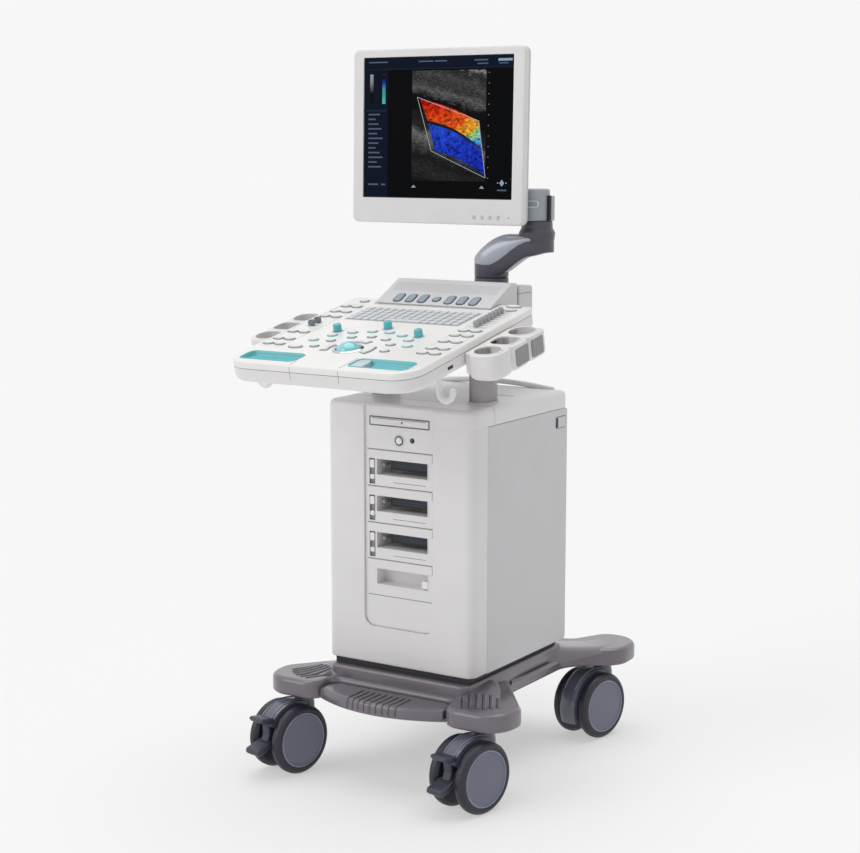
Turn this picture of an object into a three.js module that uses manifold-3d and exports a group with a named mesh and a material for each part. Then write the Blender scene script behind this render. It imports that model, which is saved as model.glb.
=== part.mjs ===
// A trolley ultrasound system: a four-caster base, an electronics cabinet, a tilted control console on two
// posts, and a flat monitor on a two-link swivel arm.
// Millimetres, +Z up, the operator stands at -Y. Heights are above the floor; y = 0 is the cabinet's front face.
import * as THREE from "three";
import { mergeVertices } from "three/addons/utils/BufferGeometryUtils.js";
import Module from "manifold-3d";

const wasm = await Module();
wasm.setup();

// ---------------------------------------------------------------- driving dimensions
const gap = 0.4; // clearance between two pieces that meet
const pinSegments = 10;

// casters
const wheelRadius = 65;
const wheelWidth = 22;
const wheelSpacing = 62; // between the two wheels' middle planes
const casterTrail = 39;
const casterAngle = -12; // degrees that the casters stand turned about +Z
const frontStem = { x: 199, y: -23 };
const rearStem = { x: 179, y: 468 };

// base
const baseBottom = 2 * wheelRadius + 16;
const legTop = baseBottom + 34;
const platformTop = legTop + 22;
const plinthInset = 14;

// cabinet
const cabinetWidth = 318;
const cabinetDepth = 347;
const plinthHeight = 12;
const cabinetHeight = 487;
const cabinetBottom = platformTop + plinthHeight;
const cabinetTop = cabinetBottom + cabinetHeight;
const coverWall = 3.5;
const cornerRadius = 20;
const frontCoverDepth = 51;
const hoodDepth = 74;
const lidHeight = 33;
const fascia = { width: 149, bottom: cabinetBottom + 71, top: cabinetTop - 6, recess: 5, wall: 3, corner: 20 };

// front openings
const drive = { width: 126, height: 14, z: cabinetTop - 33, travel: 130 };
const powerKey = { radius: 6.5, ring: 11, z: cabinetTop - 66, travel: 2 };
const jack = { x: 28, z: cabinetTop - 64, radius: 2.6 };
const bay = { pitch: 68, top: cabinetTop - 86, header: 17, height: 29, left: -49, right: 61, depth: 44 };
const bayCount = 4;
const socketCount = 3;
const latchSlot = { left: -66, width: 13, drop: 6 };

// posts and console
const post = { x: 106, y: 122, rx: 22, ry: 34, bottom: cabinetTop - 152 };
const consoleTilt = 11.2; // degrees, front edge low
const consoleFront = -257;
const consoleFrontTop = cabinetTop + 95;
const consoleSize = { width: 388.5, length: 413.6, corner: 48, deckSkirt: 13, depth: 39, wall: 3 };

// console furniture, in the console's own plane: u across, v up the slope from the front edge, w above the deck
const ballCentre = { v: 106, radius: 24.5, rise: 13.5, ring: 27.5 };
const keyTravel = 1.5;
const keyRise = 3;
const keyClear = 0.5;
const columnKeys = { u: [147.5, 172.5], radius: 9.5, flat: 0.62 };
const leftRows = [107, 137, 181, 282, 315, 350];
const rightRows = [113, 141, 182, 219, 248];
const outerArc = { radius: 105, from: 20, to: 160, count: 8, size: 8.5 };
const innerArc = { radius: 73.5, from: 2, to: 178, count: 7, size: 7.5 };
const arcKey = { inner: 38, outer: 49, spread: 44 };
const knob = { radius: 7.5, height: 14, orbit: 126, angles: [133, 90, 47] };
const keyboard = { width: 240, v0: 273, v1: 352, columns: 15, rows: 5, keyGap: 1.8, rise: 1.6 };
const palm = { u: 114, v: 40, width: 120, length: 47, depth: 13, wall: 2 };
const tgc = { u: 158, v: 274, pitch: 12.3, count: 8, width: 10, length: 6.5, rise: 12, travel: 14 };
const speaker = { width: 250, frontY: 106, ridgeY: 190, rearY: 212, top: cabinetTop + 211, wall: 3 };
const rearBox = { width: 256, frontY: 214, shoulderY: 254, rearY: 366, bottom: cabinetTop + 144, top: cabinetTop + 208 };

// probe holders and cable hooks
const holder = { u: consoleSize.width / 2 + 37.75, width: 66, v: [184, 243, 302], cup: 23.5, top: -12, depth: 46, floor: 4 };
const hook = { x: 176, y: -140, drop: 38, reach: 28, thickness: 9 };

// monitor arm and monitor
const column = { x: 0, y: 328, radius: 33 };
const elbow = { x: 86, y: 352, radius: 33 };
const lowerLink = { bottom: rearBox.top + 1, shoulder: rearBox.top + 37, top: rearBox.top + 85, tip: rearBox.top + 60 };
const collar = { radius: 30, top: lowerLink.top + 20 };
const upperLink = { bottom: collar.top + 6, top: collar.top + 66, thickness: 34 };
const headPivot = { x: -101.5, y: 398, radius: 24 };
const monitor = { x: -101.5, y: 288, width: 387, bottom: upperLink.bottom - 10, height: 334, corner: 13, rim: 21, bulge: 24 };
const screen = { width: 339, height: 270, z: monitor.bottom + 183.5 };
const monitorLean = 1.4; // degrees, top towards the back
const tiltAxis = { y: 356, z: monitor.bottom + 165, radius: 11 };

// ---------------------------------------------------------------- materials
const finish = (color, roughness, metalness = 0) =>
  new THREE.MeshStandardMaterial({ color, roughness, metalness });
const ivory = finish(0xe4e2df, 0.42);
const panelGrey = finish(0xcfccca, 0.45);
const deckWhite = finish(0xeceae7, 0.38);
const taupe = finish(0x6c666d, 0.5);
const black = finish(0x1d1c20, 0.55);
const charcoal = finish(0x4b4a56, 0.4);
const silver = finish(0xa9adb5, 0.35, 0.5);
const teal = finish(0x5fbcc4, 0.35);
const tyreBlack = finish(0x2e2d3a, 0.6);
const discGrey = finish(0x6f7183, 0.45);
const capGrey = finish(0x8d9198, 0.45);
const steel = finish(0x9a9ca0, 0.4, 0.8);
const glass = finish(0x0b0c12, 0.12);

// ---------------------------------------------------------------- solids
const radians = THREE.MathUtils.degToRad;

function solid(geometry) {
  const bare = geometry.clone();
  for (const name of Object.keys(bare.attributes)) if (name !== "position") bare.deleteAttribute(name);
  const merged = mergeVertices(bare, 1e-4);
  return new wasm.Manifold(
    new wasm.Mesh({
      numProp: 3,
      vertProperties: new Float32Array(merged.attributes.position.array),
      triVerts: new Uint32Array(merged.index.array),
    }),
  );
}

function geometryOf(body) {
  const mesh = body.getMesh();
  const geometry = new THREE.BufferGeometry();
  geometry.setAttribute("position", new THREE.BufferAttribute(mesh.vertProperties.slice(), 3));
  geometry.setIndex(new THREE.BufferAttribute(mesh.triVerts.slice(), 1));
  const flat = geometry.toNonIndexed();
  flat.computeVertexNormals();
  return flat;
}

const join = (...bodies) => bodies.reduce((whole, body) => whole.add(body));
const cut = (body, ...tools) => tools.reduce((rest, tool) => rest.subtract(tool), body);

// A box from its lowest to its highest corner.
function box(x0, y0, z0, x1, y1, z1) {
  const geometry = new THREE.BoxGeometry(x1 - x0, y1 - y0, z1 - z0);
  geometry.translate((x0 + x1) / 2, (y0 + y1) / 2, (z0 + z1) / 2);
  return solid(geometry);
}

// A cylinder along z, or along x or y, from one end to the other.
function cylinder(axis, a, b, from, to, radius, segments = 24) {
  const geometry = new THREE.CylinderGeometry(radius, radius, to - from, segments);
  const middle = (from + to) / 2;
  if (axis === "x") geometry.rotateZ(Math.PI / 2).translate(middle, a, b);
  if (axis === "y") geometry.translate(a, middle, b);
  if (axis === "z") geometry.rotateX(Math.PI / 2).translate(a, b, middle);
  return solid(geometry);
}

// A solid turned from [radius, height] points about a z axis.
function turned(points, x, y, z, segments = 32) {
  const profile = points.map(([r, h]) => new THREE.Vector2(r, h));
  const geometry = new THREE.LatheGeometry(profile, segments);
  geometry.rotateX(Math.PI / 2).translate(x, y, z);
  return solid(geometry);
}

function roundedRect(width, height, radius, cx = 0, cy = 0) {
  const shape = new THREE.Shape();
  const [x0, x1, y0, y1] = [cx - width / 2, cx + width / 2, cy - height / 2, cy + height / 2];
  shape.moveTo(x0 + radius, y0);
  shape.lineTo(x1 - radius, y0);
  shape.absarc(x1 - radius, y0 + radius, radius, -Math.PI / 2, 0);
  shape.lineTo(x1, y1 - radius);
  shape.absarc(x1 - radius, y1 - radius, radius, 0, Math.PI / 2);
  shape.lineTo(x0 + radius, y1);
  shape.absarc(x0 + radius, y1 - radius, radius, Math.PI / 2, Math.PI);
  shape.lineTo(x0, y0 + radius);
  shape.absarc(x0 + radius, y0 + radius, radius, Math.PI, 1.5 * Math.PI);
  return shape;
}

// The points of an outline without repeats and without points inside a straight run.
function corners(points) {
  const apart = points.filter((point, i) => point.distanceTo(points[(i + 1) % points.length]) > 0.01);
  return apart.filter((point, i) => {
    const before = apart[(i + apart.length - 1) % apart.length].clone().sub(point).normalize();
    const after = apart[(i + 1) % apart.length].clone().sub(point).normalize();
    return Math.abs(before.cross(after)) > 1e-4;
  });
}

// A shape in the xy plane from z0 up to z1, with an optional chamfer round both ends' edges.
function slab(shape, z0, z1, { bevel = 0, curve = 2 } = {}) {
  const geometry = new THREE.ExtrudeGeometry(new THREE.Shape(corners(shape.getPoints(curve))), {
    depth: z1 - z0 - 2 * bevel,
    bevelEnabled: bevel > 0,
    bevelSize: bevel,
    bevelThickness: bevel,
    bevelOffset: -bevel,
    bevelSegments: 1,
  });
  geometry.translate(0, 0, z0 + bevel);
  return solid(geometry);
}

// A shape drawn in the xz plane, from y0 back to y1.
function plate(shape, y0, y1, options) {
  return slab(shape, -y1, -y0, options).rotate([90, 0, 0]);
}

// A shape drawn in the yz plane, from x0 to x1.
function sideSlab(shape, x0, x1, options) {
  return slab(shape, x0, x1, options).rotate([90, 0, 90]);
}

function polygon(points) {
  return new THREE.Shape(points.map(([x, y]) => new THREE.Vector2(x, y)));
}

// Two circles joined by their tangents, in the xy plane.
function stadium(a, b, radius) {
  const angle = Math.atan2(b.y - a.y, b.x - a.x);
  const shape = new THREE.Shape();
  shape.absarc(a.x, a.y, radius, angle + Math.PI / 2, angle + 1.5 * Math.PI);
  shape.absarc(b.x, b.y, radius, angle - Math.PI / 2, angle + Math.PI / 2);
  return shape;
}

// ---------------------------------------------------------------- the scene graph
const machine = new THREE.Group();
const consoleGroup = new THREE.Group();
consoleGroup.position.set(0, consoleFront, consoleFrontTop);
consoleGroup.rotation.x = radians(consoleTilt);
const monitorGroup = new THREE.Group();
monitorGroup.position.set(monitor.x, tiltAxis.y, tiltAxis.z);
monitorGroup.rotation.x = radians(-monitorLean);
machine.add(consoleGroup, monitorGroup);

function add(parent, name, body, material) {
  const mesh = new THREE.Mesh(geometryOf(body), material);
  mesh.name = name;
  parent.add(mesh);
  return mesh;
}

// ---------------------------------------------------------------- base
const legEnd = { front: { x: 205, y: -20, r: 54 }, inner: { x: 169, y: -40, r: 34 }, rear: { x: 183, y: 485, r: 55 } };
const bridge = { front: -16, rear: 455, fillet: 22, inner: 135, waist: 148 };

// Half of the base's plan, from the front middle round the right side to the rear middle.
function baseHalf(path, side) {
  const at = (x) => side * x;
  const arc = (c, from, to, clockwise = false) => {
    const steps = 4;
    const sweep = clockwise ? from - to : to - from;
    for (let i = 0; i <= steps; i++) {
      const angle = radians(from + ((clockwise ? -1 : 1) * sweep * i) / steps);
      path.push([at(c.x + c.r * Math.cos(angle)), c.y + c.r * Math.sin(angle)]);
    }
  };
  path.push([at(0), bridge.front]);
  arc({ x: bridge.inner - bridge.fillet, y: bridge.front - bridge.fillet, r: bridge.fillet }, 90, 0, true);
  arc(legEnd.inner, 180, 270);
  arc(legEnd.front, 270, 393);
  path.push([at(196), 86]);
  path.push([at(163), 138]);
  path.push([at(bridge.waist), 175]);
  path.push([at(bridge.waist), 350]);
  path.push([at(bridge.waist + 8), 380]);
  arc(legEnd.rear, -50, 130);
  path.push([at(118), 476]);
  path.push([at(92), 460]);
  path.push([at(0), bridge.rear]);
}

function baseOutline() {
  const right = [];
  const left = [];
  baseHalf(right, 1);
  baseHalf(left, -1);
  return polygon([...right, ...left.reverse().slice(1, -1)]);
}

const pan = { halfWidth: 112, front: -6, rear: 350, bottom: baseBottom - 18, neck: 100, neckFront: 40, neckRear: 310 };
const halfCabinet = cabinetWidth / 2;

function baseFrame() {
  const legs = slab(baseOutline(), baseBottom, legTop, { bevel: 5 });
  const rise = platformTop - legTop;
  const frontY = bridge.front + 6;
  const rearY = cabinetDepth + 10;
  const platform = slab(
    roundedRect(2 * (halfCabinet - plinthInset + 5), rearY - frontY, 16, 0, (frontY + rearY) / 2),
    legTop - 8,
    platformTop,
    { bevel: 4 },
  );
  const ramp = polygon([
    [-62, legTop - 6],
    [-40, legTop + 2],
    [40, legTop + rise * 0.72],
    [120, legTop + rise * 0.85],
    [120, legTop - 6],
  ]);
  const legRamp = (side) =>
    sideSlab(ramp, -34, 34, { bevel: 3 })
      .rotate([0, 0, side * 38])
      .translate([side * 176, 6, 0]);
  const neck = box(-pan.neck - 1, pan.neckFront - 1, 0, pan.neck + 1, pan.neckRear + 1, 400);
  const stemHole = (s, stem) => cylinder("z", s * stem.x, stem.y, 0, baseBottom + 26, 9 + gap);
  return cut(
    join(legs, platform, legRamp(1), legRamp(-1)),
    neck,
    stemHole(1, frontStem),
    stemHole(-1, frontStem),
    stemHole(1, rearStem),
    stemHole(-1, rearStem),
  );
}

function footrest() {
  const shape = new THREE.Shape();
  const end = bridge.inner - gap;
  const back = bridge.front - gap;
  const bow = { end: -60, middle: -96 };
  const corner = { x: bridge.inner - bridge.fillet, y: bridge.front - bridge.fillet, r: bridge.fillet - 2 * gap };
  shape.moveTo(-corner.x, back);
  shape.absarc(-corner.x, corner.y, corner.r, Math.PI / 2, Math.PI);
  shape.lineTo(-end, bow.end);
  shape.quadraticCurveTo(0, 2 * bow.middle - bow.end, end, bow.end);
  shape.lineTo(end, corner.y);
  shape.absarc(corner.x, corner.y, corner.r, 0, Math.PI / 2);
  return slab(shape, baseBottom + 2, baseBottom + 25, { bevel: 4, curve: 5 });
}

function floorPan() {
  const under = slab(
    roundedRect(2 * pan.halfWidth, pan.rear - pan.front, 14, 0, (pan.front + pan.rear) / 2),
    pan.bottom,
    baseBottom - gap,
    { bevel: 3 },
  );
  const neck = box(-pan.neck, pan.neckFront, pan.bottom + 5, pan.neck, pan.neckRear, cabinetBottom - gap);
  const plinth = box(
    -halfCabinet + plinthInset,
    plinthInset - 6,
    platformTop + gap,
    halfCabinet - plinthInset,
    cabinetDepth - plinthInset,
    cabinetBottom - gap,
  );
  return join(under, neck, plinth);
}

add(machine, "base_frame", baseFrame(), taupe);
add(machine, "footrest", footrest(), taupe);
add(machine, "floor_pan", floorPan(), black);

// ---------------------------------------------------------------- casters
const axleRadius = 6;
const forkHalf = (wheelSpacing - wheelWidth) / 2 - 2;

// Two wheels on one axle, along x, centred on the axle.
function wheelPair() {
  const half = wheelWidth / 2;
  const wheel = turned(
    [
      [0, -half],
      [wheelRadius - 5, -half],
      [wheelRadius, -half + 6],
      [wheelRadius, half - 6],
      [wheelRadius - 5, half],
      [0, half],
    ],
    0,
    0,
    0,
    20,
  ).rotate([0, 90, 0]);
  const offset = wheelSpacing / 2;
  return join(
    wheel.translate([-offset, 0, 0]),
    wheel.translate([offset, 0, 0]),
    cylinder("x", 0, 0, -offset, offset, axleRadius, pinSegments),
  );
}

// The fork between the wheels, its arched cover and the stem; the stem stands at the group's origin.
function casterFork(braked) {
  const hub = { y: -casterTrail, z: wheelRadius };
  const arch = new THREE.Shape();
  const outer = wheelRadius + 7;
  const from = radians(braked ? 158 : 205);
  arch.absarc(hub.y, hub.z, outer, radians(8), from, false);
  arch.absarc(hub.y, hub.z, wheelRadius - 22, from, radians(8), true);
  const cover = sideSlab(arch, -forkHalf, forkHalf, { curve: 4 });
  const web = sideSlab(
    polygon([
      [hub.y - 18, hub.z - 16],
      [hub.y + 18, hub.z - 16],
      [hub.y + 44, hub.z + 42],
      [hub.y - 36, hub.z + 40],
    ]),
    -forkHalf + 6,
    forkHalf - 6,
  );
  const turret = cylinder("z", 0, 0, wheelRadius + 44, baseBottom - 2, 17, 14);
  const stem = cylinder("z", 0, 0, baseBottom - 6, baseBottom + 22, 9, pinSegments);
  const trim = box(-60, -200, baseBottom - 4, 60, 200, baseBottom);
  const axleHole = cylinder("x", hub.y, hub.z, -60, 60, axleRadius + gap, 12);
  const body = join(cut(join(cover, web), trim), turret, stem);
  return braked ? cut(body, axleHole, pedalPocket()) : cut(body, axleHole);
}

const pedalPivot = { y: -casterTrail - 46, z: wheelRadius + 24 };

function pedalPocket() {
  return box(-forkHalf + 3, pedalPivot.y - 44, pedalPivot.z - 10, forkHalf - 3, pedalPivot.y + 10, pedalPivot.z + 14);
}

// A rocking pedal: a short release lip above and a long brake pad below, on a pin across the fork.
function brakePedal() {
  const { y, z } = pedalPivot;
  const half = forkHalf - 4;
  const side = polygon([
    [y + 6, z - 6],
    [y + 6, z + 5],
    [y - 12, z + 7],
    [y - 30, z + 10],
    [y - 32, z + 4],
    [y - 14, z - 2],
    [y - 13, z - 36],
    [y - 40, z - 52],
    [y - 40, z - 60],
    [y - 14, z - 50],
    [y - 6, z - 40],
  ]);
  return sideSlab(side, -half, half, { bevel: 1.5 });
}

for (const [place, sign, stem, braked] of [
  ["front_left", -1, frontStem, true],
  ["front_right", 1, frontStem, true],
  ["rear_left", -1, rearStem, false],
  ["rear_right", 1, rearStem, false],
]) {
  const caster = new THREE.Group();
  caster.position.set(sign * stem.x, stem.y, 0);
  caster.rotation.z = radians(casterAngle);
  machine.add(caster);
  add(caster, `caster_fork_${place}`, casterFork(braked), discGrey);
  const wheels = add(caster, `caster_wheels_${place}`, wheelPair(), tyreBlack);
  wheels.position.set(0, -casterTrail, wheelRadius);
  if (braked) add(caster, `brake_pedal_${place}`, brakePedal(), black);
}

// ---------------------------------------------------------------- cabinet
// The cabinet's plan with round front corners, cut to the depths asked for.
function cabinetPlan(inset) {
  const radius = cornerRadius - inset;
  const [w, d] = [halfCabinet - inset, cabinetDepth - inset];
  const rear = 7;
  const shape = new THREE.Shape();
  shape.moveTo(-w + radius, inset);
  shape.lineTo(w - radius, inset);
  shape.absarc(w - radius, inset + radius, radius, -Math.PI / 2, 0);
  shape.lineTo(w, d - rear);
  shape.absarc(w - rear, d - rear, rear, 0, Math.PI / 2);
  shape.lineTo(-w + rear, d);
  shape.absarc(-w + rear, d - rear, rear, Math.PI / 2, Math.PI);
  shape.lineTo(-w, inset + radius);
  shape.absarc(-w + radius, inset + radius, radius, Math.PI, 1.5 * Math.PI);
  return shape;
}

const outerBody = slab(cabinetPlan(0), cabinetBottom, cabinetTop, { bevel: 5 });
const innerBody = slab(cabinetPlan(coverWall), cabinetBottom - 20, cabinetTop - coverWall);
const bodyShell = cut(outerBody, innerBody);
const lidBottom = cabinetTop - lidHeight;
const beyond = 500; // past every face of the machine's covers

function fasciaShape(clear) {
  const { width, bottom, top, corner } = fascia;
  const w = width / 2 + clear;
  const shape = new THREE.Shape();
  shape.moveTo(-w, top + clear);
  shape.lineTo(-w, bottom + corner - clear);
  shape.absarc(-w + corner, bottom + corner - clear, corner, Math.PI, 1.5 * Math.PI);
  shape.lineTo(w - corner, bottom - clear);
  shape.absarc(w - corner, bottom + corner - clear, corner, -Math.PI / 2, 0);
  shape.lineTo(w, top + clear);
  return shape;
}

function frontCover() {
  const lower = bodyShell.intersect(box(-beyond, -1, 0, beyond, frontCoverDepth, lidBottom + 1));
  const hood = bodyShell.intersect(box(-beyond, -1, lidBottom, beyond, hoodDepth, cabinetTop + 1));
  return cut(join(lower, hood), plate(fasciaShape(gap), -1, fascia.recess + 12));
}

function sidePanel(side) {
  const x0 = side > 0 ? halfCabinet - 12 : -beyond;
  const panel = bodyShell.intersect(
    box(x0, frontCoverDepth + gap, 0, side > 0 ? beyond : -halfCabinet + 12, beyond, lidBottom - gap),
  );
  const latch = { y: 317, z: cabinetTop - 60, width: 30, height: 26, proud: 1.2 };
  const shape = roundedRect(latch.width, latch.height, 4, latch.y, latch.z);
  const boss = sideSlab(shape, halfCabinet - coverWall - 2, halfCabinet + latch.proud, { curve: 1 });
  return join(panel, side > 0 ? boss : boss.mirror([1, 0, 0]));
}

const inlet = { x: -60, z: cabinetBottom + 37, width: 48, height: 28 };
const mainsSwitch = { x: -8, z: inlet.z, width: 22, height: 28 };
const fan = { x: 62, z: cabinetTop - 152, size: 92, depth: 25 };
const ventSlots = { count: 9, pitch: 12, length: 90, height: 5 };

function rearPanel() {
  const panel = bodyShell.intersect(
    box(-halfCabinet + 12 + gap, cabinetDepth - 30, 0, halfCabinet - 12 - gap, beyond, lidBottom - gap),
  );
  const through = (shape) => plate(shape, cabinetDepth - 20, cabinetDepth + 5);
  const slots = [];
  for (let i = 0; i < ventSlots.count; i++) {
    const z = fan.z + (i - (ventSlots.count - 1) / 2) * ventSlots.pitch;
    for (const x of [fan.x, -fan.x]) {
      slots.push(
        box(
          x - ventSlots.length / 2,
          cabinetDepth - 20,
          z - ventSlots.height / 2,
          x + ventSlots.length / 2,
          cabinetDepth + 5,
          z + ventSlots.height / 2,
        ),
      );
    }
  }
  return cut(
    panel,
    through(roundedRect(inlet.width, inlet.height, 3, inlet.x, inlet.z)),
    through(roundedRect(mainsSwitch.width, mainsSwitch.height, 2, mainsSwitch.x, mainsSwitch.z)),
    ...slots,
  );
}

function ellipse(cx, cy, rx, ry) {
  const shape = new THREE.Shape();
  shape.absellipse(cx, cy, rx, ry, 0, 2 * Math.PI);
  return shape;
}

function topCover() {
  const lid = bodyShell.intersect(
    box(-beyond, hoodDepth + gap, lidBottom, beyond, beyond, cabinetTop + 1),
  );
  const rim = new THREE.Shape();
  rim.moveTo(-134, cabinetTop - 3);
  rim.lineTo(134, cabinetTop - 3);
  rim.lineTo(134, cabinetTop + 1);
  rim.quadraticCurveTo(0, cabinetTop + 17, -134, cabinetTop + 1);
  const handle = plate(rim, cabinetDepth - 16, cabinetDepth - 7, { bevel: 1.5, curve: 10 });
  const postHole = (side) => slab(ellipse(side * post.x, post.y, post.rx + 1, post.ry + 1), cabinetTop - 112, cabinetTop + 88, { curve: 8 });
  return cut(join(lid, handle), postHole(1), postHole(-1));
}

const bayTop = (index) => bay.top - index * bay.pitch;

function frontFascia() {
  const y0 = fascia.recess;
  const y1 = fascia.recess + fascia.wall;
  let panel = plate(fasciaShape(0), y0, y1);
  const pocketFront = y1 - 1;
  for (let i = 0; i < bayCount; i++) {
    const top = bayTop(i) - bay.header;
    const bottom = top - bay.height;
    const depth = i < socketCount ? bay.depth : 24;
    const rim = 2;
    panel = join(
      panel,
      box(bay.left - rim, pocketFront, bottom - rim, bay.right + rim, y1 + depth + rim, top + rim),
    );
  }
  for (let i = 0; i < bayCount; i++) {
    const top = bayTop(i) - bay.header;
    const bottom = top - bay.height;
    const depth = i < socketCount ? bay.depth : 24;
    panel = cut(panel, box(bay.left, y0 - 1, bottom, bay.right, y1 + depth, top));
    const slotBottom = top - bay.height - 18;
    if (i < socketCount) {
      panel = cut(
        panel,
        box(latchSlot.left, y0 - 1, slotBottom, latchSlot.left + latchSlot.width, y1 + 1, top - latchSlot.drop + 6),
        box(bay.left + 26, y1 + depth - 1, top - 22, bay.right - 1, y1 + depth + 5, top - 1),
      );
    }
  }
  return cut(
    panel,
    plate(roundedRect(drive.width, drive.height, 1, 0, drive.z), y0 - 1, y1 + 1),
    cylinder("y", 0, powerKey.z, y0 - 1, y1 + 1, powerKey.radius + 1),
    cylinder("y", jack.x, jack.z, y0 - 1, y1 + 1, jack.radius, 12),
  );
}

add(machine, "front_cover", frontCover(), ivory);
add(machine, "side_panel_left", sidePanel(-1), panelGrey);
add(machine, "side_panel_right", sidePanel(1), panelGrey);
add(machine, "rear_panel", rearPanel(), panelGrey);
add(machine, "top_cover", topCover(), ivory);
add(machine, "front_fascia", frontFascia(), ivory);

// The disc tray: a bezel in the fascia and a tray behind it that runs out towards the operator.
function discTray() {
  const clear = 0.6;
  const bezel = plate(
    roundedRect(drive.width - 2 * clear, drive.height - 2 * clear, 1, 0, drive.z),
    fascia.recess - 0.6,
    fascia.recess + 4,
  );
  const tray = box(-60, fascia.recess + 3, drive.z - 4, 60, fascia.recess + 132, drive.z + 1);
  const dish = cylinder("z", 0, fascia.recess + 68, drive.z - 2, drive.z + 3, 59, 32);
  return cut(join(bezel, tray), dish);
}
add(machine, "disc_tray", discTray(), ivory);

function powerButton() {
  const y0 = fascia.recess;
  return join(
    cylinder("y", 0, powerKey.z, y0 - 2.5, y0 + 8, powerKey.radius),
    cylinder("y", 0, powerKey.z, y0 + fascia.wall + 3, y0 + fascia.wall + 5, powerKey.ring - 1),
  );
}
add(machine, "power_button", powerButton(), silver);

// The probe board: one circuit board behind the bays, with a connector reaching into each of three bays.
function probeBoard() {
  const back = fascia.recess + fascia.wall + bay.depth;
  let board = box(-52, back + 8, bayTop(socketCount - 1) - 60, 66, back + 10, bayTop(0) - 8);
  for (let i = 0; i < socketCount; i++) {
    const top = bayTop(i) - bay.header;
    const block = box(bay.left + 30, back - 32, top - 19, bay.right - 2, back + 9, top - 2.5);
    const throat = box(bay.left + 36, back - 33, top - 13.5, bay.right - 14, back - 20, top - 7.5);
    board = join(board, cut(block, throat));
  }
  return board;
}
add(machine, "probe_socket_board", probeBoard(), black);

// ---------------------------------------------------------------- inside the cabinet
const frame = { x: 148, front: 66, rear: 334, bottom: cabinetBottom + 2, top: cabinetTop - 57, bar: 16, sheet: 2 };

function chassisFrame() {
  const { x, front, rear, bottom, top, bar, sheet } = frame;
  const bodies = [box(-x, front, bottom, x, rear, bottom + sheet)];
  for (const sx of [-1, 1]) {
    for (const y of [front, rear - bar]) {
      bodies.push(box(sx > 0 ? x - bar : -x, y, bottom, sx > 0 ? x : -x + bar, y + bar, top));
    }
    bodies.push(box(sx > 0 ? x - bar : -x, front, top - bar, sx > 0 ? x : -x + bar, rear, top));
  }
  bodies.push(box(-x, rear - bar, top - bar, x, rear, top));
  bodies.push(box(-x, front, cabinetBottom + 215, x, rear, cabinetBottom + 215 + sheet));
  return join(...bodies);
}
add(machine, "chassis_frame", chassisFrame(), steel);
add(machine, "power_supply", box(-118, 110, cabinetBottom + 7, 20, 300, cabinetBottom + 105), steel);
add(machine, "computer_unit", box(-120, 100, cabinetBottom + 221, 20, 300, cabinetBottom + 320), steel);

function fanFrame() {
  const half = fan.size / 2;
  const y1 = cabinetDepth - coverWall - 2;
  const square = plate(roundedRect(fan.size, fan.size, 5, fan.x, fan.z), y1 - fan.depth, y1);
  const bore = cylinder("y", fan.x, fan.z, y1 - fan.depth - 1, y1 + 1, half - 3, 20);
  const hub = cylinder("y", fan.x, fan.z, y1 - 4, y1, 17, 12);
  const strut = (angle) =>
    box(-half + 1, y1 - 3, -2.5, half - 1, y1, 2.5).rotate([0, angle, 0]).translate([fan.x, 0, fan.z]);
  return join(cut(square, bore), hub, strut(45), strut(135));
}

function fanRotor() {
  const y1 = cabinetDepth - coverWall - 2 - 4 - 1;
  const y0 = y1 - fan.depth + 7;
  let rotor = cylinder("y", fan.x, fan.z, y0, y1, 17, 14);
  for (let i = 0; i < 7; i++) {
    const blade = box(14, -8, -1, fan.size / 2 - 6, 8, 1).rotate([32, 0, 0]);
    rotor = join(rotor, blade.rotate([0, (i * 360) / 7, 0]).translate([fan.x, (y0 + y1) / 2, fan.z]));
  }
  return rotor;
}
add(machine, "fan_frame", fanFrame(), black);
add(machine, "fan_rotor", fanRotor(), black);

function powerInlet() {
  const y = cabinetDepth;
  const flange = plate(roundedRect(inlet.width + 12, inlet.height + 4, 3, inlet.x, inlet.z), y + gap, y + 3);
  const body = plate(roundedRect(inlet.width - 2, inlet.height - 2, 3, inlet.x, inlet.z), y - 28, y + 1);
  const mouth = plate(roundedRect(26, 18, 4, inlet.x, inlet.z), y - 16, y + 5);
  const pin = (dx, dz) => box(inlet.x + dx - 1, y - 18, inlet.z + dz - 3, inlet.x + dx + 1, y - 2, inlet.z + dz + 3);
  return join(cut(join(flange, body), mouth), pin(-7, 0), pin(7, 0), pin(0, 2));
}
add(machine, "power_inlet", powerInlet(), black);

// A rocker across the panel hole, on a pin along x.
function rocker() {
  const y = cabinetDepth;
  const side = polygon([
    [y - 12, mainsSwitch.z - 9],
    [y + 1.5, mainsSwitch.z - 11],
    [y + 0.5, mainsSwitch.z],
    [y + 4, mainsSwitch.z + 10.5],
    [y - 12, mainsSwitch.z + 9],
  ]);
  const half = mainsSwitch.width / 2 - 1;
  return sideSlab(side, mainsSwitch.x - half, mainsSwitch.x + half);
}
add(machine, "mains_switch", rocker(), black);

// ---------------------------------------------------------------- posts and the bracket under the console
const tilt = radians(consoleTilt);
const consoleUnder = (y) => consoleFrontTop + (y - consoleFront) * Math.tan(tilt) - consoleSize.depth / Math.cos(tilt);

function postFrame() {
  const top = consoleUnder(post.y - post.ry) - 8;
  const upright = (side) => slab(ellipse(side * post.x, post.y, post.rx, post.ry), post.bottom, top, { curve: 8 });
  const bar = box(-post.x, post.y - 14, post.bottom, post.x, post.y + 14, post.bottom + 40);
  return join(upright(1), upright(-1), bar);
}
add(machine, "post_frame", postFrame(), silver);

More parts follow.
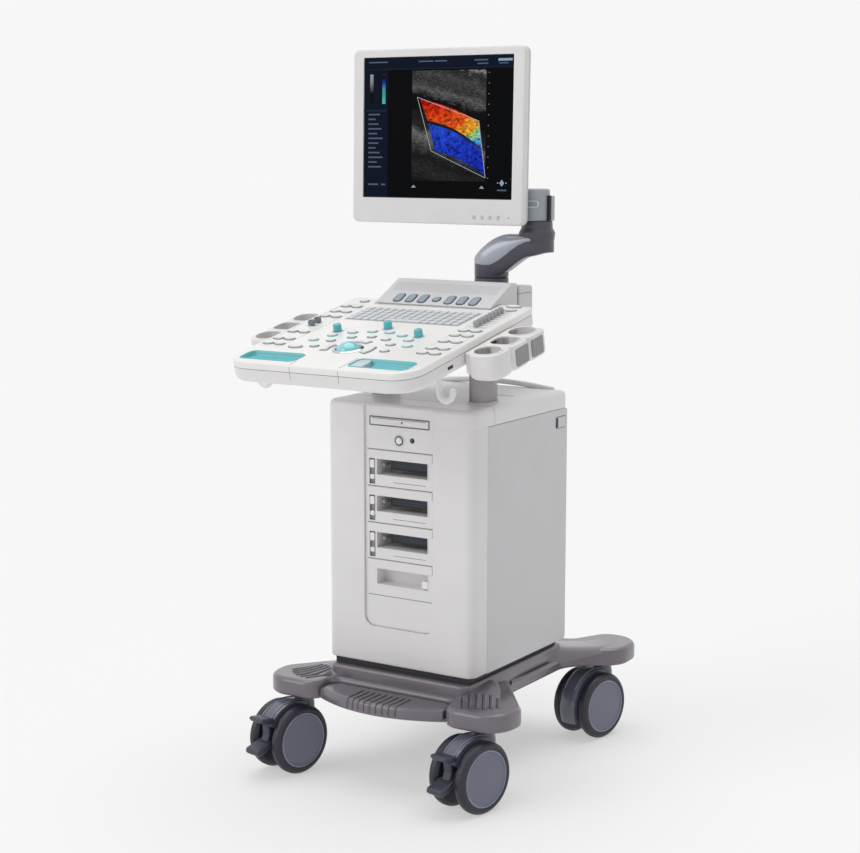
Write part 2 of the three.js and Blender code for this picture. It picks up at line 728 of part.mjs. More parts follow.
function consoleCarriage() {
  const w1 = -consoleSize.depth - gap;
  const v = (y) => (y - consoleFront) / Math.cos(tilt);
  const beam = box(-150, v(64), w1 - 30, 150, v(150), w1);
  const nose = new THREE.Shape();
  nose.moveTo(v(-118), w1);
  nose.lineTo(v(-118), w1 - 34);
  nose.quadraticCurveTo(v(-116), w1 - 58, v(-88), w1 - 62);
  nose.lineTo(v(40), w1 - 62);
  nose.lineTo(v(80), w1);
  const spine = sideSlab(nose, -28, 28, { bevel: 3 });
  const socket = (side) => {
    const hole = slab(ellipse(side * post.x, post.y, post.rx + gap, post.ry + gap), cabinetTop - 112, cabinetTop + 188, { curve: 8 });
    const intoConsole = new THREE.Matrix4()
      .makeRotationX(-tilt)
      .multiply(new THREE.Matrix4().makeTranslation(0, -consoleFront, -consoleFrontTop));
    return hole.transform(intoConsole.elements);
  };
  return cut(join(beam, spine), socket(1), socket(-1));
}
add(consoleGroup, "console_carriage", consoleCarriage(), ivory);

// ---------------------------------------------------------------- console shells
function consolePlan(inset) {
  const { width, length, corner } = consoleSize;
  const w = width / 2 - inset;
  const front = corner - inset;
  const rear = 10 - Math.min(inset, 6);
  const shape = new THREE.Shape();
  shape.moveTo(-w + front, inset);
  shape.lineTo(w - front, inset);
  shape.absarc(w - front, inset + front, front, -Math.PI / 2, 0);
  shape.lineTo(w, length - inset - rear);
  shape.absarc(w - rear, length - inset - rear, rear, 0, Math.PI / 2);
  shape.lineTo(-w + rear, length - inset);
  shape.absarc(-w + rear, length - inset - rear, rear, Math.PI / 2, Math.PI);
  shape.lineTo(-w, inset + front);
  shape.absarc(-w + front, inset + front, front, Math.PI, 1.5 * Math.PI);
  return shape;
}

function consoleTray() {
  const bottom = -consoleSize.depth;
  const top = -consoleSize.deckSkirt - gap;
  const outer = cut(
    slab(consolePlan(0), bottom, top + 20, { bevel: 8, curve: 3 }),
    box(-beyond, -beyond, top, beyond, beyond, beyond),
  );
  const inner = slab(consolePlan(consoleSize.wall), bottom + consoleSize.wall, top + 30, { bevel: 5, curve: 3 });
  return cut(outer, inner);
}

// One key: an oval or round post that rises through the deck from its web.
function keyPost(u, v, rx, ry, from, to, segments = 14) {
  const shape = ellipse(u, v, rx, ry);
  return slab(shape, from, to, { curve: segments });
}

// Every key group says which ovals pass through the deck.
const columnOvals = (side, rows) =>
  rows.flatMap((v) => columnKeys.u.map((u) => [side * u, v, columnKeys.radius, columnKeys.radius * columnKeys.flat]));
const arcOvals = ({ radius, from, to, count, size }) =>
  Array.from({ length: count }, (_, i) => {
    const angle = radians(from + ((to - from) * i) / (count - 1));
    return [radius * Math.cos(angle), ballCentre.v + radius * Math.sin(angle), size, size * 0.75];
  });

const keySets = {
  keys_left: [...columnOvals(-1, leftRows), [-155, 387, 8, 6]],
  keys_right: [...columnOvals(1, rightRows), [160, 403, 14, 5], [164, 381, 12, 5]],
  menu_keys: [...arcOvals(outerArc), ...arcOvals(innerArc), [-107, 98, 13, 7]],
};
const webs = {
  keys_left: { w: -7, shape: roundedRect(46, 308, 4, -160, 246) },
  keys_right: { w: -13, shape: roundedRect(46, 316, 4, 160, 252) },
};

function sector(inner, outer, from, to) {
  const shape = new THREE.Shape();
  shape.absarc(0, ballCentre.v, outer, radians(from), radians(to), false);
  shape.absarc(0, ballCentre.v, inner, radians(to), radians(from), true);
  return shape;
}
webs.menu_keys = { w: -7, shape: sector(64, 114, -8, 188) };

const knobPlaces = knob.angles.map((angle) => [
  knob.orbit * Math.cos(radians(angle)),
  ballCentre.v + knob.orbit * Math.sin(radians(angle)),
]);

const arcKeyAngles = [0, 90, 180];

function deckCuts() {
  const cuts = [];
  for (const ovals of Object.values(keySets)) {
    for (const [u, v, rx, ry] of ovals) cuts.push(keyPost(u, v, rx + keyClear, ry + keyClear, -10, 5, 4));
  }
  for (const angle of arcKeyAngles) {
    const half = arcKey.spread / 2 + 0.8;
    cuts.push(slab(sector(arcKey.inner - keyClear, arcKey.outer + keyClear, angle - half, angle + half), -10, 5));
  }
  for (const [u, v] of knobPlaces) cuts.push(cylinder("z", u, v, -10, 5, 3 + keyClear, 12));
  const k = keyboard;
  cuts.push(box(-k.width / 2 - keyClear, k.v0 - keyClear, -10, k.width / 2 + keyClear, k.v1 + keyClear, 5));
  cuts.push(cylinder("z", 0, ballCentre.v, -20, 5, ballCentre.ring + gap, 24));
  for (const side of [-1, 1]) {
    cuts.push(slab(roundedRect(palm.width, palm.length, 12, side * palm.u, palm.v), -20, 5));
  }
  for (let i = 0; i < tgc.count; i++) {
    const v = tgc.v + i * tgc.pitch;
    cuts.push(box(tgc.u - tgc.travel - 2, v - 1.6, -10, tgc.u + tgc.travel + 2, v + 1.6, 5));
  }
  return cuts;
}

function consoleDeck() {
  const bottom = -consoleSize.deckSkirt;
  const outer = cut(
    slab(consolePlan(0), bottom - 20, 0, { bevel: 4, curve: 3 }),
    box(-beyond, -beyond, -beyond, beyond, beyond, bottom),
  );
  const inner = slab(consolePlan(consoleSize.wall), bottom - 5, -consoleSize.wall, { curve: 3 });
  return cut(outer, inner, ...deckCuts());
}

add(consoleGroup, "console_tray", consoleTray(), ivory);
add(consoleGroup, "console_deck", consoleDeck(), deckWhite);

for (const [name, ovals] of Object.entries(keySets)) {
  const { w, shape } = webs[name];
  const web = slab(shape, w, w + 1.5, { curve: 12 });
  const posts = ovals.map(([u, v, rx, ry]) => keyPost(u, v, rx, ry, w + 1, keyRise, 4));
  add(consoleGroup, name, join(web, ...posts), panelGrey);
}

function trackballKeys() {
  const web = slab(sector(arcKey.inner - 1, arcKey.outer + 1, -24, 204), -7, -5.5, { curve: 12 });
  const half = arcKey.spread / 2;
  const keys = arcKeyAngles.map((angle) =>
    slab(sector(arcKey.inner, arcKey.outer, angle - half, angle + half), -6, keyRise - 1),
  );
  return join(web, ...keys);
}
add(consoleGroup, "trackball_keys", trackballKeys(), panelGrey);

function keyboardMat() {
  const { width, v0, v1, columns, rows, keyGap, rise } = keyboard;
  const pitchU = width / columns;
  const pitchV = (v1 - v0) / rows;
  const keys = [];
  for (let row = 0; row < rows; row++) {
    const wide = row === 0 ? 5 : 1;
    for (let i = 0; i < columns; i++) {
      if (row === 0 && i > 5 && i < 10) continue;
      const span = row === 0 && i === 5 ? wide : 1;
      const u0 = -width / 2 + i * pitchU + keyGap / 2;
      const vv = v0 + row * pitchV + keyGap / 2;
      keys.push(box(u0, vv, -5, u0 + span * pitchU - keyGap, vv + pitchV - keyGap, rise));
    }
  }
  return join(box(-width / 2 + 1, v0 + 1, -6.5, width / 2 - 1, v1 - 1, -4.5), ...keys);
}
add(consoleGroup, "keyboard", keyboardMat(), panelGrey);

for (const side of [-1, 1]) {
  const outer = slab(
    roundedRect(palm.width - 2 * gap, palm.length - 2 * gap, 12 - gap, side * palm.u, palm.v),
    -palm.depth,
    0.6,
    { bevel: 0 },
  );
  const scoop = slab(
    roundedRect(palm.width - 2 * palm.wall - 2, palm.length - 2 * palm.wall - 2, 9, side * palm.u, palm.v),
    -palm.depth + palm.wall,
    12,
    { bevel: 5 },
  );
  add(consoleGroup, side < 0 ? "palm_rest_left" : "palm_rest_right", cut(outer, scoop), teal);
}

const ballHeight = ballCentre.rise - ballCentre.radius;

function trackballRing() {
  return turned(
    [
      [ballCentre.ring - 1.7, -9],
      [ballCentre.ring, -9],
      [ballCentre.ring, 1.2],
      [ballCentre.ring - 1, 2],
      [ballCentre.ring - 5.7, 2.2],
      [ballCentre.ring - 4.1, -1],
      [ballCentre.ring - 1.7, -3.5],
      [ballCentre.ring - 1.7, -9],
    ],
    0,
    ballCentre.v,
    0,
    24,
  );
}
add(consoleGroup, "trackball_ring", trackballRing(), silver);
const ballGeometry = new THREE.SphereGeometry(ballCentre.radius, 16, 10);
const ball = add(consoleGroup, "trackball", solid(ballGeometry), teal);
ball.position.set(0, ballCentre.v, ballHeight);

const knobNames = ["knob_left", "knob_middle", "knob_right"];
for (const [i, [u, v]] of knobPlaces.entries()) {
  const shape = turned(
    [
      [0, -12],
      [3, -12],
      [3, 0.6],
      [knob.radius, 0.6],
      [knob.radius, knob.height - 1.2],
      [knob.radius - 1.2, knob.height],
      [0, knob.height],
    ],
    u,
    v,
    0,
    20,
  );
  const pointer = box(u - 0.8, v + 1, knob.height - 1, u + 0.8, v + knob.radius - 1, knob.height + 0.8);
  add(consoleGroup, knobNames[i], join(shape, pointer), teal);
}

function tgcSliders() {
  const last = tgc.v + (tgc.count - 1) * tgc.pitch;
  let bank = box(tgc.u - 3, tgc.v - 4, -9, tgc.u + 3, last + 4, -7);
  for (let i = 0; i < tgc.count; i++) {
    const v = tgc.v + i * tgc.pitch;
    const stalk = box(tgc.u - 1.5, v - 1, -8, tgc.u + 1.5, v + 1, 2);
    const [halfU, halfV] = [tgc.width / 2, tgc.length / 2];
    const cap = box(tgc.u - halfU, v - halfV, 1, tgc.u + halfU, v + halfV, tgc.rise);
    bank = join(bank, stalk, cap);
  }
  return bank;
}
add(consoleGroup, "tgc_sliders", tgcSliders(), capGrey);

// ---------------------------------------------------------------- speaker panel and rear housing
const deckHeight = (y) => consoleFrontTop + (y - consoleFront) * Math.tan(tilt);
const deckRear = {
  y: consoleFront + consoleSize.length * Math.cos(tilt),
  z: consoleFrontTop + consoleSize.length * Math.sin(tilt),
};
const trayRear = {
  y: deckRear.y + consoleSize.depth * Math.sin(tilt),
  z: deckRear.z - consoleSize.depth * Math.cos(tilt),
};
const speakerSlope = Math.atan2(speaker.top - deckHeight(speaker.frontY), speaker.ridgeY - speaker.frontY);

function speakerProfile(inset) {
  const lift = gap / Math.cos(tilt) + inset;
  const back = speaker.rearY - inset;
  return polygon([
    [speaker.frontY + inset * 3, deckHeight(speaker.frontY + inset * 3) + lift],
    [deckRear.y + gap + inset, deckHeight(deckRear.y + gap + inset) + lift],
    [trayRear.y + gap + inset * 1.4, trayRear.z + 4 + inset],
    [back, trayRear.z + 4 + inset],
    [back, speaker.top - inset],
    [speaker.ridgeY + inset * 0.4, speaker.top - inset],
  ]);
}

// Places a shape drawn on the speaker panel's sloping face: x across, s up the face, d above it.
function onSpeakerFace(body) {
  return body
    .rotate([(speakerSlope * 180) / Math.PI, 0, 0])
    .translate([0, speaker.frontY, deckHeight(speaker.frontY)]);
}

const speakerKeys = {
  s: 28,
  offsets: [-78, -53, -28, 28, 53, 78],
  rx: 7,
  ry: 11,
  middle: 7,
  skin: 1.6,
  web: 1,
  travel: 1.2,
};
const speakerKeyShapes = (clear) => [
  ...speakerKeys.offsets.map((x) =>
    roundedRect(2 * (speakerKeys.rx + clear), 2 * (speakerKeys.ry + clear), 4.5, x, speakerKeys.s),
  ),
  roundedRect(2 * (speakerKeys.middle + clear), 2 * (speakerKeys.middle + clear), 6, 0, speakerKeys.s),
];

function speakerPanel() {
  const half = speaker.width / 2;
  const outer = sideSlab(speakerProfile(0), -half, half);
  const inner = sideSlab(speakerProfile(speaker.wall), -half + speaker.wall, half - speaker.wall);
  const rearOpening = box(-40, speaker.rearY - 8, cabinetTop + 158, 40, speaker.rearY + 1, cabinetTop + 193);
  const holes = speakerKeyShapes(keyClear).map((shape) => onSpeakerFace(slab(shape, -6, 5, { curve: 1 })));
  const pocket = onSpeakerFace(box(-94, speakerKeys.s - 14, -30, 94, speakerKeys.s + 14, -speakerKeys.skin));
  return cut(outer, inner, rearOpening, pocket, ...holes);
}
add(machine, "speaker_panel", speakerPanel(), panelGrey);

function speakerKeyMat() {
  const top = -speakerKeys.skin - 0.3;
  const web = slab(roundedRect(180, 24, 4, 0, speakerKeys.s), top - speakerKeys.web, top);
  const posts = speakerKeyShapes(0).map((shape) => slab(shape, top - speakerKeys.web / 2, 2, { curve: 1 }));
  return onSpeakerFace(join(web, ...posts));
}
add(machine, "speaker_keys", speakerKeyMat(), capGrey);

function rearHousing() {
  const { width, frontY, shoulderY, rearY, bottom, top } = rearBox;
  const half = width / 2;
  const shape = new THREE.Shape();
  shape.moveTo(-half, frontY);
  shape.lineTo(half, frontY);
  shape.lineTo(half, shoulderY - 6);
  shape.quadraticCurveTo(half, shoulderY + 6, half - 8, shoulderY + 16);
  shape.lineTo(52, rearY - 14);
  shape.quadraticCurveTo(38, rearY, 20, rearY);
  shape.lineTo(-20, rearY);
  shape.quadraticCurveTo(-38, rearY, -52, rearY - 14);
  shape.lineTo(-half + 8, shoulderY + 16);
  shape.quadraticCurveTo(-half, shoulderY + 6, -half, shoulderY - 6);
  const body = slab(shape, bottom, top, { bevel: 3 });
  return cut(body, cylinder("z", column.x, column.y, top - 22, top + 1, 14 + gap, 14));
}
add(machine, "rear_housing", rearHousing(), panelGrey);

// ---------------------------------------------------------------- probe holders and hooks
function probeHolder(side) {
  const { u, width, v, cup, top, depth, floor } = holder;
  const half = width / 2;
  const inner = consoleSize.width / 2 + gap;
  const towers = v.map((vi) => slab(roundedRect(width, 64, 26, u, vi), top - depth, top, { curve: 2 }));
  const spine = box(inner, v[0] - 22, top - depth + 6, u - half + 16, v[2] + 22, top - 3);
  const bridge1 = box(u - half + 8, v[0], top - depth + 8, u + half - 8, v[2], top - 3);
  const cups = v.map((vi) => cylinder("z", u + 1, vi, top - depth + floor, top + 5, cup, 16));
  const body = cut(join(...towers, spine, bridge1), ...cups);
  return side > 0 ? body : body.mirror([1, 0, 0]);
}
add(consoleGroup, "probe_holder_right", probeHolder(1), ivory);
add(consoleGroup, "probe_holder_left", probeHolder(-1), ivory);

function cableHook(side) {
  const z = consoleUnder(hook.y) - gap;
  const half = hook.thickness / 2;
  const shape = new THREE.Shape();
  const bend = hook.reach / 2;
  const low = z - hook.drop + bend;
  shape.moveTo(-half, z);
  shape.lineTo(-half, low);
  shape.absarc(bend, low, bend + half, Math.PI, 2 * Math.PI, false);
  shape.lineTo(hook.reach + half, low + 10);
  shape.absarc(hook.reach, low + 10, half, 0, Math.PI, false);
  shape.lineTo(hook.reach - half, low);
  shape.absarc(bend, low, bend - half, 2 * Math.PI, Math.PI, true);
  shape.lineTo(half, z);
  const body = plate(shape, hook.y - half, hook.y + half, { curve: 3 });
  const placed = cut(body, box(-50, -beyond, z - 1, 50, beyond, z + 50)).translate([hook.x, 0, 0]);
  return side > 0 ? placed : placed.mirror([1, 0, 0]);
}
add(machine, "cable_hook_right", cableHook(1), ivory);
add(machine, "cable_hook_left", cableHook(-1), ivory);

// ---------------------------------------------------------------- monitor arm
function armLower() {
  const { bottom, shoulder, top, tip } = lowerLink;
  const reach = Math.hypot(elbow.x - column.x, elbow.y - column.y);
  const heading = Math.atan2(elbow.y - column.y, elbow.x - column.x);
  const r = column.radius;
  const side = new THREE.Shape();
  side.moveTo(-r, bottom + gap);
  side.lineTo(-r, shoulder);
  side.quadraticCurveTo(-r + 6, shoulder + 34, 6, top - 10);
  side.quadraticCurveTo(reach * 0.5, top, reach, top);
  side.lineTo(reach + r, top);
  side.lineTo(reach + r, tip);
  side.quadraticCurveTo(r + 18, tip - 6, r, bottom + 12);
  side.lineTo(r, bottom + gap);
  const profile = plate(side, -60, 60, { curve: 8 });
  const plan = slab(stadium({ x: 0, y: 0 }, { x: reach, y: 0 }, r), bottom, top + 5, { curve: 8 });
  const pivot = cylinder("z", 0, 0, bottom - 20, bottom + 4, 14, 14);
  const ring = cylinder("z", reach, 0, top - 2, collar.top, collar.radius, 20);
  const bore = cylinder("z", reach, 0, collar.top - 14, collar.top + 1, 12 + gap, 14);
  return cut(join(profile.intersect(plan), pivot, ring), bore)
    .rotate([0, 0, (heading * 180) / Math.PI])
    .translate([column.x, column.y, 0]);
}
add(machine, "arm_lower", armLower(), charcoal);

function armUpper() {
  const { bottom, top, thickness } = upperLink;
  const reach = Math.hypot(headPivot.x - elbow.x, headPivot.y - elbow.y);
  const heading = Math.atan2(headPivot.y - elbow.y, headPivot.x - elbow.x);
  const drum = slab(ellipse(0, 0, elbow.radius, elbow.radius), bottom, top, { bevel: 3, curve: 8 });
  const bar = slab(stadium({ x: 0, y: 0 }, { x: reach, y: 0 }, thickness / 2), bottom + 3, top - 3, { bevel: 3 });
  const end = slab(ellipse(reach, 0, headPivot.radius, headPivot.radius), bottom + 8, top - 3, { bevel: 2, curve: 8 });
  const pin = cylinder("z", 0, 0, collar.top - 12, bottom + 4, 12, 14);
  const bore = cylinder("z", reach, 0, top - 20, top + 1, 11 + gap, 16);
  return cut(join(drum, bar, end, pin), bore)
    .rotate([0, 0, (heading * 180) / Math.PI])
    .translate([elbow.x, elbow.y, 0]);
}
add(machine, "arm_upper", armUpper(), silver);

// The head that turns on the arm's end and carries the tilt pin along x.
function tiltHead() {
  const { x, y, radius } = headPivot;
  const foot = cylinder("z", x, y, upperLink.top - 3 + gap, upperLink.top + 12, radius - 2, 16);
  const pin = cylinder("z", x, y, upperLink.top - 18, upperLink.top + 4, 11, 12);
  const neck = sideSlab(
    polygon([
      [y - 12, upperLink.top + 6],
      [y + 16, upperLink.top + 6],
      [y + 10, tiltAxis.z + 6],
      [tiltAxis.y, tiltAxis.z + tiltAxis.radius],
      [tiltAxis.y - 9, tiltAxis.z],
      [tiltAxis.y, tiltAxis.z - tiltAxis.radius],
      [y - 16, tiltAxis.z - 30],
    ]),
    x - 20,
    x + 20,
    { bevel: 2 },
  );
  const knuckle = cylinder("x", tiltAxis.y, tiltAxis.z, x - 20, x + 20, tiltAxis.radius, 16);
  const bore = cylinder("x", tiltAxis.y, tiltAxis.z, x - 30, x + 30, 5 + gap, 12);
  return cut(join(foot, pin, neck, knuckle), bore);
}
add(machine, "tilt_head", tiltHead(), charcoal);

// ---------------------------------------------------------------- monitor, about the tilt axis
const face = monitor.y - tiltAxis.y;
const middle = monitor.bottom + monitor.height / 2 - tiltAxis.z;
const screenMiddle = screen.z - tiltAxis.z;

function monitorBezel() {
  const shape = roundedRect(monitor.width, monitor.height, monitor.corner, 0, middle);
  const body = plate(shape, face, face + monitor.rim - 6, { bevel: 2 });
  const window = plate(roundedRect(screen.width, screen.height, 2, 0, screenMiddle), face - 1, face + 40);
  const pocket = plate(
    roundedRect(screen.width + 14, screen.height + 14, 3, 0, screenMiddle),
    face + 3,
    face + 40,
  );
  const keys = monitorKeyPlaces.map(([x, z]) => cylinder("y", x, z, face - 1, face + 40, 3 + keyClear, 10));
  return cut(body, window, pocket, ...keys);
}

const monitorKeyPlaces = Array.from({ length: 4 }, (_, i) => [
  88 + i * 17.6,
  monitor.bottom + 14.5 - tiltAxis.z,
]);

function monitorBack() {
  const { width, height, corner, rim, bulge } = monitor;
  const rimBody = plate(roundedRect(width, height, corner, 0, middle), face + rim - 6 + gap, face + rim + 4, { bevel: 3 });
  const hump = plate(roundedRect(width - 70, height - 110, 24, 0, middle + 14), face + rim, face + rim + bulge, { bevel: 8 });
  const hollow = plate(roundedRect(width - 20, height - 20, 6, 0, middle), face, face + rim);
  const ear = (side) => {
    const lug = new THREE.Shape();
    lug.moveTo(face + rim + bulge - 3, -20);
    lug.lineTo(face + rim + bulge - 3, 20);
    lug.lineTo(0, 11);
    lug.absarc(0, 0, 11, Math.PI / 2, -Math.PI / 2, true);
    return sideSlab(lug, side > 0 ? 20 + gap : -30, side > 0 ? 30 : -20 - gap, { curve: 8 });
  };
  const pin = cylinder("x", 0, 0, -28, 28, 5, pinSegments);
  const mount = plate(roundedRect(100, 100, 8, 0, 0), face + rim + bulge - 2, face + rim + bulge + 3, { bevel: 1 });
  return cut(join(rimBody, hump, mount, ear(1), ear(-1), pin), hollow);
}

function lcdPanel() {
  return plate(
    roundedRect(screen.width + 12, screen.height + 12, 2, 0, screenMiddle),
    face + 3 + gap,
    face + 14,
  );
}

function monitorKeys() {
  const web = plate(roundedRect(66, 8, 3, 114.4, monitorKeyPlaces[0][1]), face + 16.6, face + 18);
  const posts = monitorKeyPlaces.map(([x, z]) => cylinder("y", x, z, face - 0.8, face + 17, 3, 10));
  return join(web, ...posts);
}

add(monitorGroup, "monitor_bezel", monitorBezel(), ivory);
add(monitorGroup, "monitor_back", monitorBack(), ivory);
add(monitorGroup, "lcd_panel", lcdPanel(), glass);
add(monitorGroup, "monitor_keys", monitorKeys(), silver);

// ---------------------------------------------------------------- origin
// The part's origin is under the middle of its bounding box, on the floor.
const bounds = new THREE.Box3().setFromObject(machine);
const centre = bounds.getCenter(new THREE.Vector3());
machine.position.set(-centre.x, -centre.y, -bounds.min.z);

export default machine;
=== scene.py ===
import math

import bpy
import numpy as np
from mathutils.bvhtree import BVHTree
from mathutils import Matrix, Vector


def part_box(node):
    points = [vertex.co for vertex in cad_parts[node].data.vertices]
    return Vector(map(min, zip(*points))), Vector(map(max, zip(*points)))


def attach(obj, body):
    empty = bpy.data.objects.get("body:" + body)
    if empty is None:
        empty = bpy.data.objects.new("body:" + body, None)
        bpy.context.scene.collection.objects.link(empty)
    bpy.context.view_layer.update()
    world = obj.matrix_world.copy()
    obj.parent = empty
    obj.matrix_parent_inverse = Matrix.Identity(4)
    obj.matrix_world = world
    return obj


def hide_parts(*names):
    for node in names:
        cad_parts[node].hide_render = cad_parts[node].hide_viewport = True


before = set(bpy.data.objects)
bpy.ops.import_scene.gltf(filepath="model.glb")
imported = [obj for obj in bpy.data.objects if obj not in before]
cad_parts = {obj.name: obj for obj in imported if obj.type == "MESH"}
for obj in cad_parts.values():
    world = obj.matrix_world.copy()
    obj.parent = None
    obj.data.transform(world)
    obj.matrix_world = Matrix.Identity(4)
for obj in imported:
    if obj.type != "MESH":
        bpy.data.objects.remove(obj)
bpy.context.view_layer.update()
coverLow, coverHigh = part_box("front_cover")
coverEdge = 226.5  # height of the front cover's lower edge in these axes
shift = np.array([(coverLow[0] + coverHigh[0]) / 2, coverLow[1], coverLow[2] - coverEdge / 1000])
print("frame loaded:", len(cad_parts), "nodes")


# places: an origin and two axes, the third is their cross product
def placeOf(origin, across, along):
    across, along = np.array(across, float), np.array(along, float)
    return np.array([origin, across, along, np.cross(across, along)], float)


def leaning(origin, degrees):
    # x stays, y and z turn about x by the angle
    c, s = math.cos(math.radians(degrees)), math.sin(math.radians(degrees))
    return placeOf(origin, (1, 0, 0), (0, c, s))


floorLevel = -1000 * shift[2]
ground = placeOf((0, 0, 0), (1, 0, 0), (0, 1, 0))
basePlace = placeOf((0, 0, floorLevel), (1, 0, 0), (0, 1, 0))
frontFace = placeOf((0, 0, 0), (1, 0, 0), (0, 0, 1))
rightFace = placeOf((0, 0, 0), (0, 1, 0), (0, 0, 1))
console = leaning((0, -257, 807), 11.2)
monitorPlace = placeOf((-101.5, 356, 1186), (1, 0, 0), (0, 0.02443, 0.9997))
speakerPlace = leaning((0, 106, 878.87), 27.68)


# shapes: a solid is (points, faces), points in millimetres
def loft(sections, closedEnds=True):
    # sections[i, j] is point j of closed section i; quads join neighbours, flat faces close the ends
    rows, columns = sections.shape[:2]
    i, j = np.meshgrid(np.arange(rows - 1), np.arange(columns), indexing="ij")
    k = (j + 1) % columns
    quads = np.stack([i * columns + j, i * columns + k, (i + 1) * columns + k, (i + 1) * columns + j], -1)
    faces = quads.reshape(-1, 4).tolist()
    if closedEnds:
        faces.append(list(range(columns))[::-1])
        faces.append(list(range((rows - 1) * columns, rows * columns)))
    return sections.reshape(-1, 3), faces


def joined(*solids):
    points, faces, count = [], [], 0
    for solidPoints, solidFaces in solids:
        points.append(solidPoints)
        faces += [[index + count for index in face] for face in solidFaces]
        count += len(solidPoints)
    return np.concatenate(points), faces


def moved(solid, place):
    return place[0] + solid[0] @ place[1:], solid[1]


def flipped(solid):
    # the mirror image in x = 0, with its faces turned back outwards
    return solid[0] * [-1, 1, 1], [face[::-1] for face in solid[1]]


def onSide(solid, side):
    return solid if side > 0 else flipped(solid)


def onBoth(solid):
    return joined(solid, flipped(solid))


def fullTurn(count):
    return np.arange(count) * 2 * np.pi / count


# outlines: each is a function of how far it is drawn in, so that an edge can turn in cleanly
def drawnIn(points, distance):
    # each point moves in along the mean normal of its two sides, by distance / cos(half the turn)
    before = points - np.roll(points, 1, 0)
    after = np.roll(before, -1, 0)
    n1 = np.stack([before[:, 1], -before[:, 0]], -1) / np.linalg.norm(before, axis=1)[:, None]
    n2 = np.stack([after[:, 1], -after[:, 0]], -1) / np.linalg.norm(after, axis=1)[:, None]
    mitre = (n1 + n2) / np.maximum(1 + (n1 * n2).sum(1), 0.2)[:, None]
    return points - distance * mitre


def rounded(corners, radius, steps=5):
    # each corner becomes an arc tangent to both sides: centre = corner + bisector * r / sin(half angle)
    sharp = np.array(corners, float)
    radii = np.broadcast_to(np.array(radius, float), len(sharp))
    ahead = np.roll(sharp, -1, 0)
    if (sharp[:, 0] * ahead[:, 1] - ahead[:, 0] * sharp[:, 1]).sum() < 0:
        sharp, radii = sharp[::-1], radii[::-1]
    mostIn = 0.45 * np.linalg.norm(sharp - np.roll(sharp, 1, 0), axis=1).min()

    def outline(distance=0.0):
        distance = min(distance, mostIn)
        p = drawnIn(sharp, distance)
        a, b = np.roll(p, 1, 0) - p, np.roll(p, -1, 0) - p
        outward = a[:, 1] * b[:, 0] - a[:, 0] * b[:, 1] > 0
        r = np.maximum(np.where(outward, radii - distance, radii + distance), 0.12)[:, None]
        a /= np.linalg.norm(a, axis=1)[:, None]
        b /= np.linalg.norm(b, axis=1)[:, None]
        half = np.arccos(np.clip((a * b).sum(1), -0.99999, 0.99999))[:, None] / 2
        bisector = (a + b) / np.maximum(np.linalg.norm(a + b, axis=1)[:, None], 1e-9)
        centre = p + bisector * r / np.sin(half)
        start, end = p + a * r / np.tan(half) - centre, p + b * r / np.tan(half) - centre
        first = np.arctan2(start[:, 1], start[:, 0])
        sweep = np.arctan2(end[:, 1], end[:, 0]) - first
        sweep = (sweep + np.pi) % (2 * np.pi) - np.pi
        angles = first[:, None] + sweep[:, None] * np.linspace(0, 1, steps + 1)
        arcs = centre[:, None] + r[:, None] * np.stack([np.cos(angles), np.sin(angles)], -1)
        return arcs.reshape(-1, 2)

    return outline


def within(outline, distance):
    return lambda more=0.0: outline(distance + more)


def rectangle(width, height, radius, x=0.0, y=0.0, steps=5):
    w, h = width / 2, height / 2
    return rounded([(x - w, y - h), (x + w, y - h), (x + w, y + h), (x - w, y + h)], radius, steps)


def ellipse(x, y, rx, ry, count=28):
    t = fullTurn(count)
    return lambda d=0.0: np.stack([x + (rx - d) * np.cos(t), y + (ry - d) * np.sin(t)], -1)


def circle(x, y, radius, count=28):
    return ellipse(x, y, radius, radius, count)


def sector(x, y, inner, outer, start, end, steps=14):
    # a bent bar between two radii, from one angle to the other
    def outline(d=0.0):
        far = np.radians(np.linspace(start, end, steps)) + np.linspace(d, -d, steps) / outer
        near = np.radians(np.linspace(end, start, steps)) - np.linspace(d, -d, steps) / inner
        out = np.stack([np.cos(far), np.sin(far)], -1) * (outer - d)
        back = np.stack([np.cos(near), np.sin(near)], -1) * (inner + d)
        return np.concatenate([out, back]) + [x, y]

    return outline


def layers(outline, insets, heights):
    # the outline drawn in by each inset and laid at each height
    flat = zip(insets, heights)
    return np.array([np.column_stack([outline(d), np.full(len(outline()), h)]) for d, h in flat])


def slab(outline, low, high, edge=1.0, lowEdge=0.3, steps=3):
    # the outline goes straight up and turns in over a quarter circle at each end
    t = np.linspace(0, np.pi / 2, steps + 1)
    insets = [lowEdge + 0.3, *(lowEdge * (1 - np.sin(t))), *(edge * (1 - np.cos(t))), edge + 0.3]
    heights = [low, *(low + lowEdge * (1 - np.cos(t))), *(high - edge * (1 - np.sin(t))), high]
    return loft(layers(outline, insets, heights))


def block(x0, x1, y0, y1, z0, z1, edge=0.6, corner=1.0):
    plan = rectangle(x1 - x0, y1 - y0, corner, (x0 + x1) / 2, (y0 + y1) / 2, 3)
    return slab(plan, z0, z1, edge, edge)


def weld(solid, columns):
    # the last section is the first one again, so its points go and its faces use the first
    points, faces = solid
    keep = len(points) - columns
    return points[:keep], [[index - keep if index >= keep else index for index in face] for face in faces]


def band(outline, width, low, high, ease=0.2):
    # a flat ring that follows an outline, its upper edges eased
    insets = [0, 0, ease, width - ease, width, width, 0]
    heights = [low, high - ease, high, high, high - ease, low, low]
    return weld(loft(layers(outline, insets, heights), False), len(outline()))


